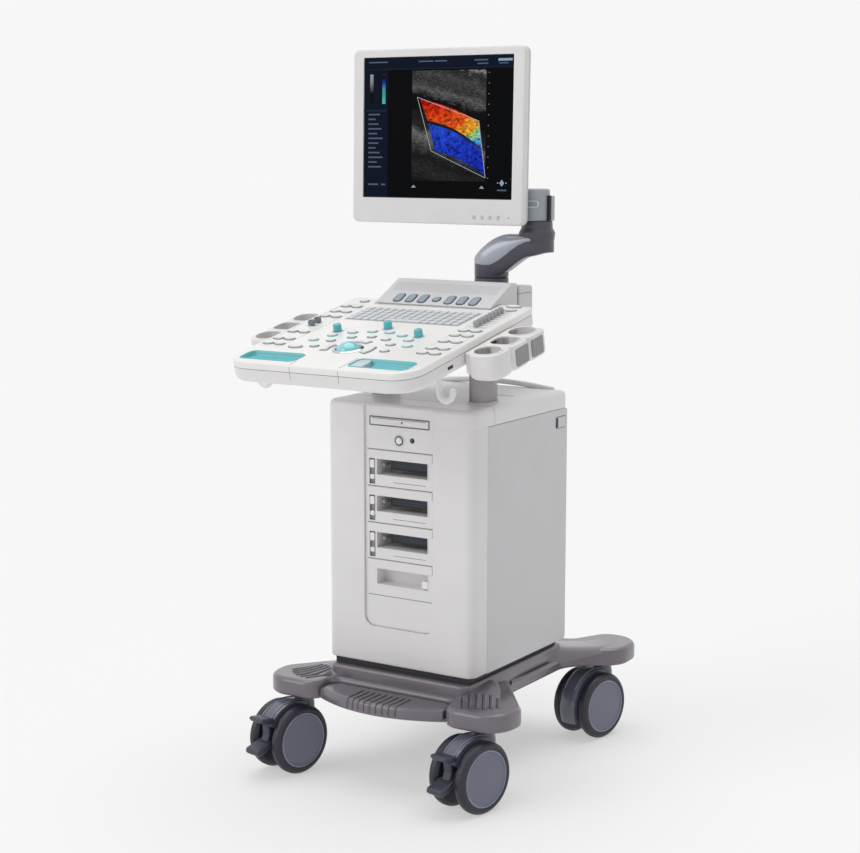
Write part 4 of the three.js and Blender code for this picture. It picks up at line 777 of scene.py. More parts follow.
# console: a white deck on an ivory tray, tilted towards the operator; u runs across it and v up it
deck = {"width": 388.5, "length": 413.6, "frontCorner": 48, "rearCorner": 10, "skirt": 13, "depth": 39}
ball = {"centre": (0, 106), "radius": 24.3, "keys": (0, 90, 180)}
typing = {"middle": (0, 312.5), "left": -120, "front": 273}
typing |= {"rows": 5, "columns": 15, "pitchU": 16.0, "pitchV": 15.8}
palm = {"u": 114, "v": 40}
gain = {"u": 158, "v": 274, "pitch": 12.3, "count": 8}
paddle = {"u": -160, "v": 222, "pitch": 19, "count": 2}


def deckOutline():
    w, n, c = deck["width"] / 2, deck["length"], deck["frontCorner"]
    return rounded([(-w, 0), (w, 0), (w, n), (-w, n)], [c, c, deck["rearCorner"], deck["rearCorner"]], 12)


def pairedKeys(side, rows):
    return [(side * u, v, 9.5, 5.9) for v in rows for u in (147.5, 172.5)]


def arcKeys(radius, start, end, count, size):
    t = np.radians(np.linspace(start, end, count))
    u, v = radius * np.cos(t), ball["centre"][1] + radius * np.sin(t)
    return [(a, b, size, size * 0.75) for a, b in zip(u.tolist(), v.tolist())]


def placesAlong(row):
    return [(row["u"], row["v"] + row["pitch"] * i) for i in range(row["count"])]


outerArc = arcKeys(105, 20, 160, 8, 8.5)
keySets = {
    "keys_left": [*pairedKeys(-1, [107, 137, 181, 282, 315, 350]), (-155, 387, 8, 6)],
    "keys_right": [*pairedKeys(1, [113, 141, 182, 219, 248]), (160, 403, 14, 5), (164, 381, 12, 5)],
    "menu_keys": [*outerArc, *arcKeys(73.5, 2, 178, 7, 7.5), (-107, 98, 13, 7)],
}
deckShape = slab(deckOutline(), -deck["skirt"], 0, 4.5, 0.4, 5)
upper = onConsole("console_top", deckShape, deckWhite, "deck_white", replaces="console_deck")
trayShape = slab(deckOutline(), -deck["depth"], -deck["skirt"] - 0.9, 0.5, 11, 5)
onConsole("console_base", trayShape, coverIvory, "cover_ivory", replaces="console_tray")
onConsole("console_seam", slab(within(deckOutline(), 1.3), -15, -12, 0.2), seamDark, "panel_grey")


def keyWells():
    # every hole sunk in the deck: how deep, and its outline a little larger than what sits in it
    clear = 0.7
    everyKey = [key for keys in keySets.values() for key in keys]
    wells = [(-6, ellipse(u, v, rx + clear, ry + clear)) for u, v, rx, ry in everyKey]
    wells += [(-4.5, rectangle(241, 80, 2, *typing["middle"])), (-9, circle(*ball["centre"], 28.2, 48))]
    wells += [(-12.5, rectangle(120.5, 47.5, 13, side * palm["u"], palm["v"], 7)) for side in (-1, 1)]
    wells += [(-6, sector(*ball["centre"], 37.4, 49.6, a - 22.8, a + 22.8)) for a in ball["keys"]]
    wells += [(-6, rectangle(33, 3.4, 1.2, u, v)) for u, v in placesAlong(gain)]
    wells += [(-6, rectangle(26, 3.0, 1.2, u, v)) for u, v in placesAlong(paddle)]
    return joined(*[slab(outline, low, 4, 0.2) for low, outline in wells])


carve(upper, keyWells(), console)


def keyCaps(keys, rise=3.4, edge=1.5):
    return joined(*[slab(ellipse(u, v, rx, ry), -5, rise, edge, 0.3, 4) for u, v, rx, ry in keys])


def keyRings(keys, width=1.7, high=1.0):
    return joined(*[band(ellipse(u, v, rx + 2.3, ry + 2.3, 32), width, -0.3, high) for u, v, rx, ry in keys])


innerMenu = keySets["menu_keys"][len(outerArc) :]
for name, keys in keySets.items():
    shown = innerMenu if name == "menu_keys" else keys
    onConsole(f"{name}_caps", keyCaps(shown), keyLight, "panel_grey", body=name, replaces=name)
onConsole("outer_arc_caps", keyCaps(outerArc), keyLight, "panel_grey", body="menu_keys")
onConsole("outer_arc_rings", keyRings(outerArc), teal, "teal_trim")
slateRings = keyRings([*innerMenu, *keySets["keys_left"], *keySets["keys_right"]], 1.5, 0.8)
onConsole("key_rings", slateRings, keyTrim, "cap_grey")
arcPlans = [sector(*ball["centre"], 38.2, 48.8, a - 21.8, a + 21.8) for a in ball["keys"]]
arcBars = [slab(plan, -5, 3, 1.4, 0.3, 4) for plan in arcPlans]
ballKeys = {"body": "trackball_keys", "replaces": "trackball_keys"}
onConsole("ball_key_caps", joined(*arcBars), keyLight, "panel_grey", **ballKeys)
edgePlans = [sector(*ball["centre"], 35.8, 51.2, a - 24.4, a + 24.4) for a in ball["keys"]]
arcEdges = [band(plan, 1.3, -0.3, 0.6) for plan in edgePlans]
onConsole("ball_key_rims", joined(*arcEdges), keyTrim, "cap_grey")


def typingKeys():
    # five rows of square keys; the front row has one key five pitches wide
    keys, pitchU, pitchV = [], typing["pitchU"], typing["pitchV"]
    for row in range(typing["rows"]):
        for i in range(typing["columns"]):
            if row == 0 and 5 < i < 10:
                continue
            wide = 5 if row == 0 and i == 5 else 1
            u = typing["left"] + pitchU * (i + wide / 2)
            v = typing["front"] + pitchV * (row + 0.5)
            plan = rectangle(pitchU * wide - 2.4, pitchV - 3.2, 2.6, u, v, 3)
            keys.append(slab(plan, -4, 2.2, 1.2, 0.2, 3))
    return joined(*keys)


onConsole("typing_keys", typingKeys(), keyGrey, "panel_grey", body="keyboard", replaces="keyboard")
# the bed sits just under the key tops so that the gaps between keys show its darker slate: partly painted
# shade between the keys
bedShape = slab(rectangle(240, 79, 1.5, *typing["middle"]), -4.4, 0.1, 0.3)
onConsole("typing_bed", bedShape, keyTrim, "panel_grey")
rimShape = band(rectangle(246, 85, 5, *typing["middle"]), 2.4, -0.3, 0.7)
onConsole("typing_rim", rimShape, linkGrey, "panel_grey")


def palmDish(side):
    # a tray with a soft rim: rings go in over the lip, down the wall and across a hollow floor
    outline = rectangle(119, 46, 12.5, side * palm["u"], palm["v"], 8)
    insets = [0.6, 0, 0, 0.6, 1.6, 2.6, 3.6, 5.5, 9.5, 15]
    heights = [-11.5, -4, 0.4, 1.0, 1.0, 0.2, -4, -8, -9.8, -10.2]
    return loft(layers(outline, insets, heights))


for name, side in {"palm_rest_left": -1, "palm_rest_right": 1}.items():
    onConsole(f"{name}_dish", palmDish(side), teal, "teal_trim", replaces=name, sharp=60)
onConsole("palm_pad", slab(rectangle(27, 45.5, 12, 68.4, palm["v"]), -10.3, -1.2, 1.2), linkGrey, "cap_grey")

ringSide = [(28, -8), (28, 1), (26.5, 2.2), (23.2, 2.4), (22.4, 1.2), (24.8, -3), (26, -8)]
onConsole("ball_ring", hoop(ringSide, 56, ball["centre"]), chrome, "arm_silver", replaces="trackball_ring")
latitude = np.radians(np.linspace(-89, 89, 37))
ballSide = np.column_stack([ball["radius"] * np.cos(latitude), ball["radius"] * np.sin(latitude) - 11])
ballShape = turned(ballSide, 56, ball["centre"])
onConsole("ball", ballShape, tealPale, "teal_trim", body="trackball", replaces="trackball")


def knobShape(u, v):
    # a tapered cap with a dished top; below it the radius ripples by 1 + 0.022 cos 16 t
    t = fullTurn(48)
    capSide = [(7.4, 0.8), (7.9, 1.6), (7.5, 11.6), (6.9, 13.4), (5.6, 14.0), (3.0, 13.4), (0.3, 13.3)]
    profile = np.array(capSide)
    r = profile[:, :1] * np.where(profile[:, 1:] < 12, 1 + 0.022 * np.cos(16 * t), 1)
    rings = np.stack([u + r * np.cos(t), v + r * np.sin(t), profile[:, 1:] + 0 * t], -1)
    stem = turned([(0, -10), (3, -10), (3, 1.5), (0, 1.5)], 16, (u, v))
    mark = slab(rectangle(1.1, 4, 0.4, u, v + 4.4), 13, 14.5, 0.3)
    return joined(loft(rings), stem, mark)


knob = {"reach": 126, "knob_left": 133, "knob_middle": 90, "knob_right": 47}
for name in ("knob_left", "knob_middle", "knob_right"):
    u = knob["reach"] * math.cos(math.radians(knob[name]))
    v = ball["centre"][1] + knob["reach"] * math.sin(math.radians(knob[name]))
    onConsole(f"{name}_cap", knobShape(u, v), teal, "teal_trim", body=name, replaces=name)
    onConsole(f"{name}_base", band(circle(u, v, 11, 40), 2.6, -0.3, 0.9), linkGrey, "panel_grey")


def sliderCap(u, v, halfU, halfV, rise):
    # a cap with three grip ridges on a thin stalk
    body = slab(rectangle(2 * halfU, 2 * halfV, 1.4, u, v, 3), 1.2, rise - 1, 1.6)
    stalk = slab(rectangle(2.4, 1.6, 0.4, u, v, 2), -6, 2, 0.2)
    ridges = [rectangle(0.9, 2 * halfV - 1.2, 0.4, u + d, v, 2) for d in (-2.6, 0, 2.6)]
    return joined(body, stalk, *[slab(ridge, rise - 1.6, rise - 0.2, 0.3) for ridge in ridges])


bank = joined(*[sliderCap(u, v, 5, 3.3, 12) for u, v in placesAlong(gain)])
onConsole("gain_sliders", bank, capGrey, "cap_grey", body="tgc_sliders", replaces="tgc_sliders")
pair = joined(*[sliderCap(u, v, 6, 4, 11) for u, v in placesAlong(paddle)])
onConsole("side_sliders", pair, keyTrim, "cap_grey")
fields = [(rectangle(43, 105, 8, 158, 317), 1.0, 0.5), (rectangle(46, 100, 9, 160, 182, 6), 0.8, 0.4)]
fields.append((rectangle(50, 275, 10, -160, 228, 6), 0.8, 0.4))
fieldLines = joined(*[band(outline, width, -0.2, high) for outline, width, high in fields])
onConsole("key_fields", fieldLines, linkGrey, "panel_grey")
seams = [block(u - 0.4, u + 0.4, -0.15, 1.2, -27, -4, 0.1, 0.2) for u in (-50.2, 50.2)]
seams += [block(-50.6, -49.8, 3, 26, -3, 0.2, 0.1, 0.3), block(49.8, 50.6, 3, 64, -3, 0.2, 0.1, 0.3)]
onConsole("deck_seams", joined(*seams), seamDark, "panel_grey")
port = slab(rectangle(17, 5.5, 1.2, 122, -25), 192, 194.6, 0.3)
addPiece("side_port", port, connectorBlack, "trim_black", place=placeOf(console[0], console[2], console[3]))
print("console made")

# speaker panel and the housing behind it
speaker = {"half": 125, "keyLine": 28, "keys": (-82, -55.5, -29, 29, 55.5, 82)}
wedgeSide = [(106.2, 879.5), (149.2, 888), (157.5, 854), (211.6, 854), (211.6, 922.6), (190, 923.2)]
wedgePlan = rounded(wedgeSide, [1.5, 0.5, 1, 3, 5, 6], 5)
wedge = slab(wedgePlan, -speaker["half"], speaker["half"], 3, 3, 4)
addPiece("speaker_wedge", wedge, greyWithPaintedShade, "panel_grey", replaces="speaker_panel", place=rightFace)
keyShapes = [(x, 7.6, 12.5, 5) for x in speaker["keys"]] + [(0, 7, 7, 6.6)]
caps, rings = [], []
for x, rx, ry, corner in keyShapes:
    caps.append(slab(rectangle(2 * rx, 2 * ry, corner, x, speaker["keyLine"], 6), -2, 2.6, 1.6, 0.3, 4))
    ring = rectangle(2 * rx + 4, 2 * ry + 4, corner + 2, x, speaker["keyLine"], 6)
    rings.append(band(ring, 1.7, -0.5, 1.1))
speakerKeys = {"body": "speaker_keys", "replaces": "speaker_keys", "place": speakerPlace}
addPiece("speaker_key_caps", joined(*caps), keyBlueGrey, "cap_grey", **speakerKeys)
addPiece("speaker_key_rings", joined(*rings), pedalNavy, "trim_black", place=speakerPlace)


def grilleDots(columns=58, rows=7, sides=8):
    # small round dots in staggered rows: x = 3.9 column, half a step over on every other row
    column, row = np.meshgrid(np.arange(columns), np.arange(rows), indexing="ij")
    x = (column - (columns - 1) / 2) * 3.9 + (row % 2) * 1.95 - 1
    y = 54 + row * 4.4
    t, k = fullTurn(sides), np.arange(sides)
    flat = np.full((*x.shape, sides), 0.55)
    top = np.stack([x[..., None] + np.cos(t), y[..., None] + np.sin(t), flat], -1).reshape(-1, sides, 3)
    low = top * [1, 1, 0] + [0, 0, -0.4]
    first = np.arange(len(top))[:, None] * 2 * sides
    ahead = (k + 1) % sides
    walls = np.stack([first + k, first + ahead, first + sides + ahead, first + sides + k], -1)
    faces = walls.reshape(-1, 4).tolist() + (first + sides + k).tolist() + (first + k[::-1]).tolist()
    return np.concatenate([low, top], 1).reshape(-1, 3), faces


addPiece("speaker_dots", grilleDots(), grilleGrey, "trim_black", place=speakerPlace)
edgeLine = band(rectangle(238, 84, 6, 0, 46), 0.9, -0.4, 0.3)
addPiece("speaker_edge", edgeLine, linkGrey, "panel_grey", place=speakerPlace)
housing = [(-128, 214), (128, 214), (128, 262), (54, 352), (30, 366), (-30, 366), (-54, 352), (-128, 262)]
housingPlan = rounded(housing, [3, 3, 12, 26, 16, 16, 26, 12], 8)
lowerHousing = slab(housingPlan, 856, 902.5, 0.5, 6, 4)
points, faces = slab(housingPlan, 903.4, 920, 5, 0.4, 4)
drop = np.where(points[:, 2] > 910, (points[:, 1] - 214) * 0.09, 0)  # the top falls 9 mm in 100 to the rear
upperHousing = (points - drop[:, None] * [0, 0, 1], faces)
addPiece("rear_case", joined(lowerHousing, upperHousing), greyWithPaintedShade, "panel_grey", replaces="rear_housing")
addPiece("rear_case_seam", slab(within(housingPlan, 1.4), 900, 905, 0.3), seamDark, "panel_grey")
arm = {"column": (0, 328), "elbow": (86, 352), "head": (-101.5, 398), "radius": 33}
socket = turned(roundedProfile([(0, 898), (33, 898), (33, 920.9), (0, 920.9)], [1, 1], 3), 48, arm["column"])
addPiece("column_socket", socket, armCharcoal, "arm_charcoal")

# probe holders: three cups in a row on each side, and hooks for the leads
holder = {"u": 232, "top": -12, "depth": 46, "inner": 199, "outer": 264.2}
cups = {
    184: {"outside": [27, 27, 14, 14], "bore": (47, 47, 23)},
    243: {"outside": [15, 15, 15, 15], "bore": (46, 45, 14)},
    302: {"outside": [12, 14, 14, 28], "bore": (47, 47, 22)},
}
holderLow, holderHigh = holder["top"] - holder["depth"], holder["top"]


def cupBodies():
    u0, u1 = holder["inner"], holder["outer"]
    bodies = []
    for v, shape in cups.items():
        plan = rounded([(u0, v - 30), (u1, v - 30), (u1, v + 30), (u0, v + 30)], shape["outside"], 8)
        bodies.append(slab(plan, holderLow, holderHigh, 3.5, 9, 4))
    return joined(*bodies)


def cupBores():
    outlines = [rectangle(*cup["bore"], holder["u"], v, 8) for v, cup in cups.items()]
    return joined(*[slab(outline, holderLow + 5, 5, 0.3, 5) for outline in outlines])


def cupRims():
    rims = []
    for v, cup in cups.items():
        wide, long, corner = cup["bore"]
        outline = rectangle(wide + 5, long + 5, corner + 2, holder["u"], v, 8)
        rims.append(band(outline, 2.4, -12.6, -10.6))
    return joined(*rims)


bridgePlan = rounded([(195, 168), (226, 168), (226, 318), (195, 318)], 3)
bridge = slab(bridgePlan, holderLow + 7, holderHigh - 1.5, 2, 2)
windowPlans = [rectangle(width, 32, 4, v, -35, 5) for v, width in ((243, 42), (297, 38))]
cupWindows = moved(joined(*[slab(plan, 262, 264.9, 0.6) for plan in windowPlans]), rightFace)
for label, side in (("right", 1), ("left", -1)):
    bodies, bores, node = onSide(cupBodies(), side), onSide(cupBores(), side), f"probe_holder_{label}"
    holderPiece = onConsole(f"cups_{label}", bodies, coverIvory, "cover_ivory", replaces=node, sharp=42)
    carve(holderPiece, bores, console, 42)
    brace = onConsole(f"cup_bridge_{label}", onSide(bridge, side), coverIvory, "cover_ivory")
    carve(brace, bores, console)
    onConsole(f"cup_rims_{label}", onSide(cupRims(), side), deckWhite, "cover_ivory")
    # grey patches on the cups' outer walls: painted shade inside the windows
    onConsole(f"cup_windows_{label}", onSide(cupWindows, side), greyAndRecessShade, "cap_grey")


def hookShape():
    # a strap that drops from the console and turns up outwards; its tip swells and then closes
    x, y, top, low = 176, -140, 791, 770.5
    line = [(x, top), (x, low), (x + 3, low - 14), (x + 14, low - 21)]
    line += [(x + 26, low - 14), (x + 28.4, low + 2)]
    t = np.linspace(0, 1, 36)
    width = 5.0 + 0.9 * np.clip((t - 0.85) / 0.1, 0, 1) - 3.8 * np.clip((t - 0.97) / 0.03, 0, 1)
    return tube(smoothPath([(a, y, b) for a, b in line], 36), width, 16)


for label, side in (("right", 1), ("left", -1)):
    hook = onSide(hookShape(), side)
    addPiece(f"lead_hook_{label}", hook, coverIvory, "cover_ivory", replaces=f"cable_hook_{label}")
print("holders made")


# monitor arm: a round column, an S-shaped lower link under a silver cap, and a grey upper link
def towards(start, end):
    # the place whose first axis runs from start to end, and how far that is
    a, b = np.array(start, float), np.array(end, float)
    d = (b - a) / np.linalg.norm(b - a)
    return placeOf((*start, 0), (d[0], d[1], 0), (-d[1], d[0], 0)), np.linalg.norm(b - a)


lowerPlace, lowerReach = towards(arm["column"], arm["elbow"])
upperPlace, upperReach = towards(arm["elbow"], arm["head"])


def smooth(x, a, b):
    # 0 before a, 1 after b, and 3 k^2 - 2 k^3 between them
    k = np.clip((x - a) / (b - a), 0, 1)
    return k * k * (3 - 2 * k)


def capEdge(x):
    # the line round the link where the silver cap meets the dark side
    return 954 + 42 * smooth(x, -12, 84) + 2 * smooth(x, 84, 119)


def capHeight(x):
    # steep at the column, then level at the elbow
    return 957 + 48 * np.sin(np.clip((x + 34) / 72, 0, 1) * np.pi / 2) ** 0.8


def linkUnder(x):
    return 925 + 38 * smooth(x, 12, 84) + 8 * smooth(x, 78, 119)


def lowerLinkShape(grow, lowAt, highAt, power=0.3, count=36):
    # at each x a squared-off oval, cos and sin to a power, from lowAt up to highAt; round ends in plan
    r = arm["radius"] + grow
    a = np.linspace(0.08, np.pi - 0.08, 15)
    straight = np.linspace(0, lowerReach, 16)[1:-1]
    x = np.concatenate([-r * np.cos(a[:8]), straight, lowerReach - r * np.cos(a[7:])])
    gone = np.where(x < 0, -x, np.where(x > lowerReach, x - lowerReach, 0))
    half = np.sqrt(np.maximum(r**2 - gone**2, 1))
    t = fullTurn(count)
    c, s = (np.sign(wave) * abs(wave) ** power for wave in (np.cos(t), np.sin(t)))
    low, high = lowAt(x)[:, None], highAt(x)[:, None]
    y, z = half[:, None] * c, (low + high) / 2 + (high - low) / 2 * s
    return loft(np.stack([np.broadcast_to(x[:, None], y.shape), y, z], -1))


lowerEnd = {"body": "arm_lower", "place": lowerPlace}
columnSide = [(0, 904), (14, 904), (14, 921.4), (33, 921.4), (33, 953), (0, 953)]
column = turned(roundedProfile(columnSide, [1, 0.3, 3, 6], 4), 48)
linkBody = joined(lowerLinkShape(0, linkUnder, lambda x: capEdge(x) + 2), column)
addPiece("lower_link", linkBody, armCharcoal, "arm_charcoal", replaces="arm_lower", sharp=50, **lowerEnd)
collarSide = [(0, 990), (33, 990), (35, 1008), (30, 1017), (29.5, 1030.4), (0, 1030.4)]
collar = turned(roundedProfile(collarSide, [2, 6, 10, 1.5], 5), 48, (lowerReach, 0))
addPiece("elbow_collar", collar, armCharcoal, "arm_charcoal", sharp=50, **lowerEnd)
capShape = lowerLinkShape(0.4, lambda x: 2 * capEdge(x) - capHeight(x), capHeight, 0.8)
addPiece("lower_link_cap", capShape, armSilver, "arm_silver", sharp=60, **lowerEnd)
drum = slab(circle(82.2, 349.6, 28.5, 48), 1031, 1091, 4, 2, 4)
elbowPin = slab(circle(*arm["elbow"], 12, 24), 1014, 1034, 0.5)
swung = {"body": "arm_upper"}
addPiece("elbow_drum", joined(drum, elbowPin), linkShade, "arm_silver", replaces="arm_upper", **swung)
shell = slab(sector(*arm["elbow"], 12, 33.2, -6, 150), 1031.2, 1078, 2.5, 1)
addPiece("elbow_shell", shell, capGrey, "arm_silver", **swung)
# a black sector at the end of the shell: painted shadow in the gap between shell and drum
gapShadow = slab(sector(*arm["elbow"], 12, 32.0, -14, -5, 4), 1032, 1079, 0.4)
addPiece("elbow_gap_shadow", gapShadow, plinthBlack, "arm_silver", **swung)
beam = slab(rectangle(upperReach + 4, 34, 8, upperReach / 2, 0, 5), 1035, 1088, 5, 5, 4)
headEnd = slab(circle(upperReach, 0, 24, 40), 1038, 1088, 4, 3, 4)
addPiece("upper_link", joined(beam, headEnd), armSilver, "arm_silver", place=upperPlace, **swung)
coverPlate = moved(slab(rectangle(118, 42, 8, 96, 1061, 6), 17, 18.6, 1.2), frontFace)
addPiece("upper_link_plate", coverPlate, linkGrey, "arm_silver", place=upperPlace, **swung)
slotRing = band(rectangle(60, 13, 6, 76, 1063, 6), 1.6, -321.4, -320.6)
addPiece("elbow_slot_ring", slotRing, deckWhite, "arm_silver", place=frontFace, **swung)
slotFill = slab(rectangle(57, 10, 4.6, 76, 1063, 6), -330, -321.0, 0.3)
addPiece("elbow_slot", slotFill, capGrey, "arm_silver", place=frontFace, **swung)
print("arm made")

# monitor, in its own axes about the tilt pin: x across, y up, z towards the operator
monitor = {"width": 387, "height": 334, "corner": 13, "middle": 2.0, "front": 68, "rim": 53}
screen = {"width": 339, "height": 270, "middle": 18.5, "glass": 64.6}
buttonRow = {"x": 88, "pitch": 17.6, "count": 4, "y": -150.5}


def screenOutline(grow, radius):
    return rectangle(screen["width"] + grow, screen["height"] + grow, radius, 0, screen["middle"])


def buttonSlabs(radius, low, high, edge):
    spots = [buttonRow["x"] + buttonRow["pitch"] * i for i in range(buttonRow["count"])]
    return joined(*[slab(circle(x, buttonRow["y"], radius, 20), low, high, edge) for x in spots])


casePlan = rectangle(monitor["width"], monitor["height"], monitor["corner"], 0, monitor["middle"], 10)
bezelShape = slab(casePlan, monitor["rim"], monitor["front"], 3.2, 0.4, 5)
bezel = onMonitor("monitor_front", bezelShape, coverIvory, "cover_ivory", replaces="monitor_bezel")
carve(bezel, slab(screenOutline(0, 2), 40, 80, 0.3), monitorPlace)
carve(bezel, slab(screenOutline(14, 3), 50, 65, 0.3), monitorPlace)
carve(bezel, buttonSlabs(3.5, 50, 80, 0.2), monitorPlace)
glass = slab(screenOutline(12, 2), 54, screen["glass"], 0.3)
onMonitor("display_glass", glass, screenGlass, "screen_glass", replaces="lcd_panel")
onMonitor("screen_lip", band(screenOutline(0.6, 2.4), 1.5, 64.4, 65.3), plinthBlack, "trim_black")

backRim = slab(casePlan, 43, monitor["rim"] - 0.6, 0.4, 6, 5)
backBulge = slab(rectangle(317, 224, 26, 0, 16, 8), 23, 48, 0.5, 14, 6)
plate = slab(rectangle(100, 100, 8, 0, 0), 20.2, 26, 0.5, 1.2)
earCorners = [(0.1, -11), (26, -20), (26, 20), (0.1, 11), (-8.5, 7), (-11, 0), (-8.5, -7)]
earOutline = rounded(earCorners, [6, 0.5, 0.5, 6, 4, 5, 4], 4)
earPlace = placeOf((0, 0, 0), (0, 0, 1), (0, 1, 0))
ears = [moved(slab(earOutline, low, low + 9.6, 1, 1), earPlace) for low in (-30, 20.4)]
tiltPin = moved(turned([(0, -28), (5, -28), (5, 28), (0, 28)], 20), rightFace)
backShape = joined(backRim, backBulge, plate, *ears, tiltPin)
# the monitor's back in the grey that is partly painted shade
onMonitor("monitor_rear", backShape, greyWithPaintedShade, "cover_ivory", replaces="monitor_back")
ventLines = [92 + 6 * i for i in range(5)] + [-62 - 6 * i for i in range(4)]
vents = [slab(rectangle(150, 2.6, 1.2, 0, y), 22.7, 24, 0.2, 0.3) for y in ventLines]
onMonitor("monitor_vents", joined(*vents), seamDark, "trim_black")
screwSide = roundedProfile([(0, 19.4), (4, 19.6), (4.6, 21), (0, 21)], [0.4, 0.4], 2)
screws = [turned(screwSide, 20, (x, y)) for x in (-37.5, 37.5) for y in (-37.5, 37.5)]
onMonitor("mount_screws", joined(*screws), sheetSteel, "cover_ivory")
buttons = {"body": "monitor_keys", "replaces": "monitor_keys"}
onMonitor("monitor_buttons", buttonSlabs(2.9, 51, 68.7, 0.7), linkGrey, "arm_silver", **buttons)
lamp = slab(circle(164, buttonRow["y"], 1.2, 16), 67, 68.3, 0.3)
onMonitor("power_lamp", lamp, pedalNavy, "trim_black")
print("monitor made")


# the picture on the display: thin patches on the glass, in fractions of the screen from its top left
def onScreen(points, level=0, thick=0.1):
    # each level lies a twentieth of a millimetre above the one below
    p = np.array(points, float)
    x = (p[:, 0] - 0.5) * screen["width"]
    y = screen["middle"] + (0.5 - p[:, 1]) * screen["height"]
    flat = np.stack([x, y], -1)
    ahead = np.roll(flat, -1, 0)
    if (ahead[:, 1] * flat[:, 0] - ahead[:, 0] * flat[:, 1]).sum() <= 0:
        flat = flat[::-1]
    z = screen["glass"] + 0.05 * level
    return loft(np.array([np.column_stack([flat, np.full(len(flat), h)]) for h in (z, z + thick)]))


def area(x0, x1, y0, y1, level=0):
    return onScreen([(x0, y0), (x1, y0), (x1, y1), (x0, y1)], level)


def stroke(start, end, width=0.0028, level=5):
    a, b = np.array(start), np.array(end)
    d = (b - a) / np.linalg.norm(b - a)
    n = np.array([-d[1], d[0]]) * width / 2
    return onScreen([a - n, b - n, b + n, a + n], level)


def vesselPatch(upperLine, lowerLine, level):
    # each edge runs from (x0, y0) to (x1, y1) with a bow of bow * sin(pi t)
    t = np.linspace(0, 1, 14)
    edges = []
    for x0, y0, x1, y1, bow in (upperLine, lowerLine):
        edges.append(np.stack([x0 + (x1 - x0) * t, y0 + (y1 - y0) * t - bow * np.sin(np.pi * t)], -1))
    return onScreen(np.concatenate([edges[0], edges[1][::-1]]), level)


def showPatch(name, patches, material):
    onMonitor(name, joined(*patches), material, "screen_glass")


def glowWith(tree, colour, strength):
    # the lit display: light of the given colour under a trace of gloss
    sockets = {"Base Color": (0.0, 0.0, 0.0, 1.0), "Roughness": 0.4, "Specular IOR Level": 0.03}
    sockets |= {"Emission Color": colour, "Emission Strength": strength}
    shader = addNode(tree, "ShaderNodeBsdfPrincipled", sockets)
    addNode(tree, "ShaderNodeOutputMaterial", {"Surface": shader.outputs["BSDF"]})


def glowing(name, colour):
    made, tree = emptyMaterial(name)
    where = addNode(tree, "ShaderNodeTexCoord").outputs["Object"]
    grid = addNode(tree, "ShaderNodeTexNoise", {"Vector": where, "Scale": 900.0, "Detail": 1.0})
    base = np.array(linear(colour)[:3])
    low, high = (*(base * 0.85), 1.0), (*base, 1.0)
    tone = addNode(tree, "ShaderNodeMix", {0: grid.outputs["Fac"], 6: low, 7: high}, data_type="RGBA")
    glowWith(tree, tone.outputs[2], 1.0)
    return made


def rampTone(name, stops, span, slope=0.0, blurBy=0.0, strength=1.0, fine=5.0, stretch=(1, 1, 1)):
    # a colour ramp over height + slope * x + blurBy * noise across the span in metres, times a speckle
    made, tree = emptyMaterial(name)
    where = addNode(tree, "ShaderNodeTexCoord").outputs["Object"]
    split = addNode(tree, "ShaderNodeSeparateXYZ", {"Vector": where})
    lean = addNode(tree, "ShaderNodeMath", {0: split.outputs["X"], 1: slope}, operation="MULTIPLY")
    height = addNode(tree, "ShaderNodeMath", {0: split.outputs["Z"], 1: lean.outputs[0]}, operation="ADD")
    blur = addNode(tree, "ShaderNodeTexNoise", {"Vector": where, "Scale": 55.0, "Detail": 3.0})
    drift = addNode(tree, "ShaderNodeMath", {0: blur.outputs["Fac"], 1: blurBy}, operation="MULTIPLY")
    total = addNode(tree, "ShaderNodeMath", {0: height.outputs[0], 1: drift.outputs[0]}, operation="ADD")
    limits = {"Value": total.outputs[0], "From Min": span[0], "From Max": span[1]}
    level = addNode(tree, "ShaderNodeMapRange", limits)
    ramp = addNode(tree, "ShaderNodeValToRGB", {"Fac": level.outputs["Result"]})
    elements = ramp.color_ramp.elements
    while len(elements) < len(stops):
        elements.new(0.5)
    for element, (at, colour) in zip(elements, stops):
        element.position, element.color = at, linear(colour)
    streaks = addNode(tree, "ShaderNodeMapping", {"Vector": where, "Scale": stretch}).outputs["Vector"]
    grains = {"Vector": streaks, "Scale": fine, "Detail": 4.0, "Roughness": 0.75}
    speckle = addNode(tree, "ShaderNodeTexNoise", grains)
    limits = {"Value": speckle.outputs["Fac"], "From Min": 0.36, "From Max": 0.68}
    limits |= {"To Min": 0.1, "To Max": 1.35}
    contrast = addNode(tree, "ShaderNodeMapRange", limits)
    factors = {0: 1.0, 6: ramp.outputs["Color"], 7: contrast.outputs["Result"]}
    lit = addNode(tree, "ShaderNodeMix", factors, data_type="RGBA", blend_type="MULTIPLY")
    glowWith(tree, lit.outputs[2], strength)
    return made


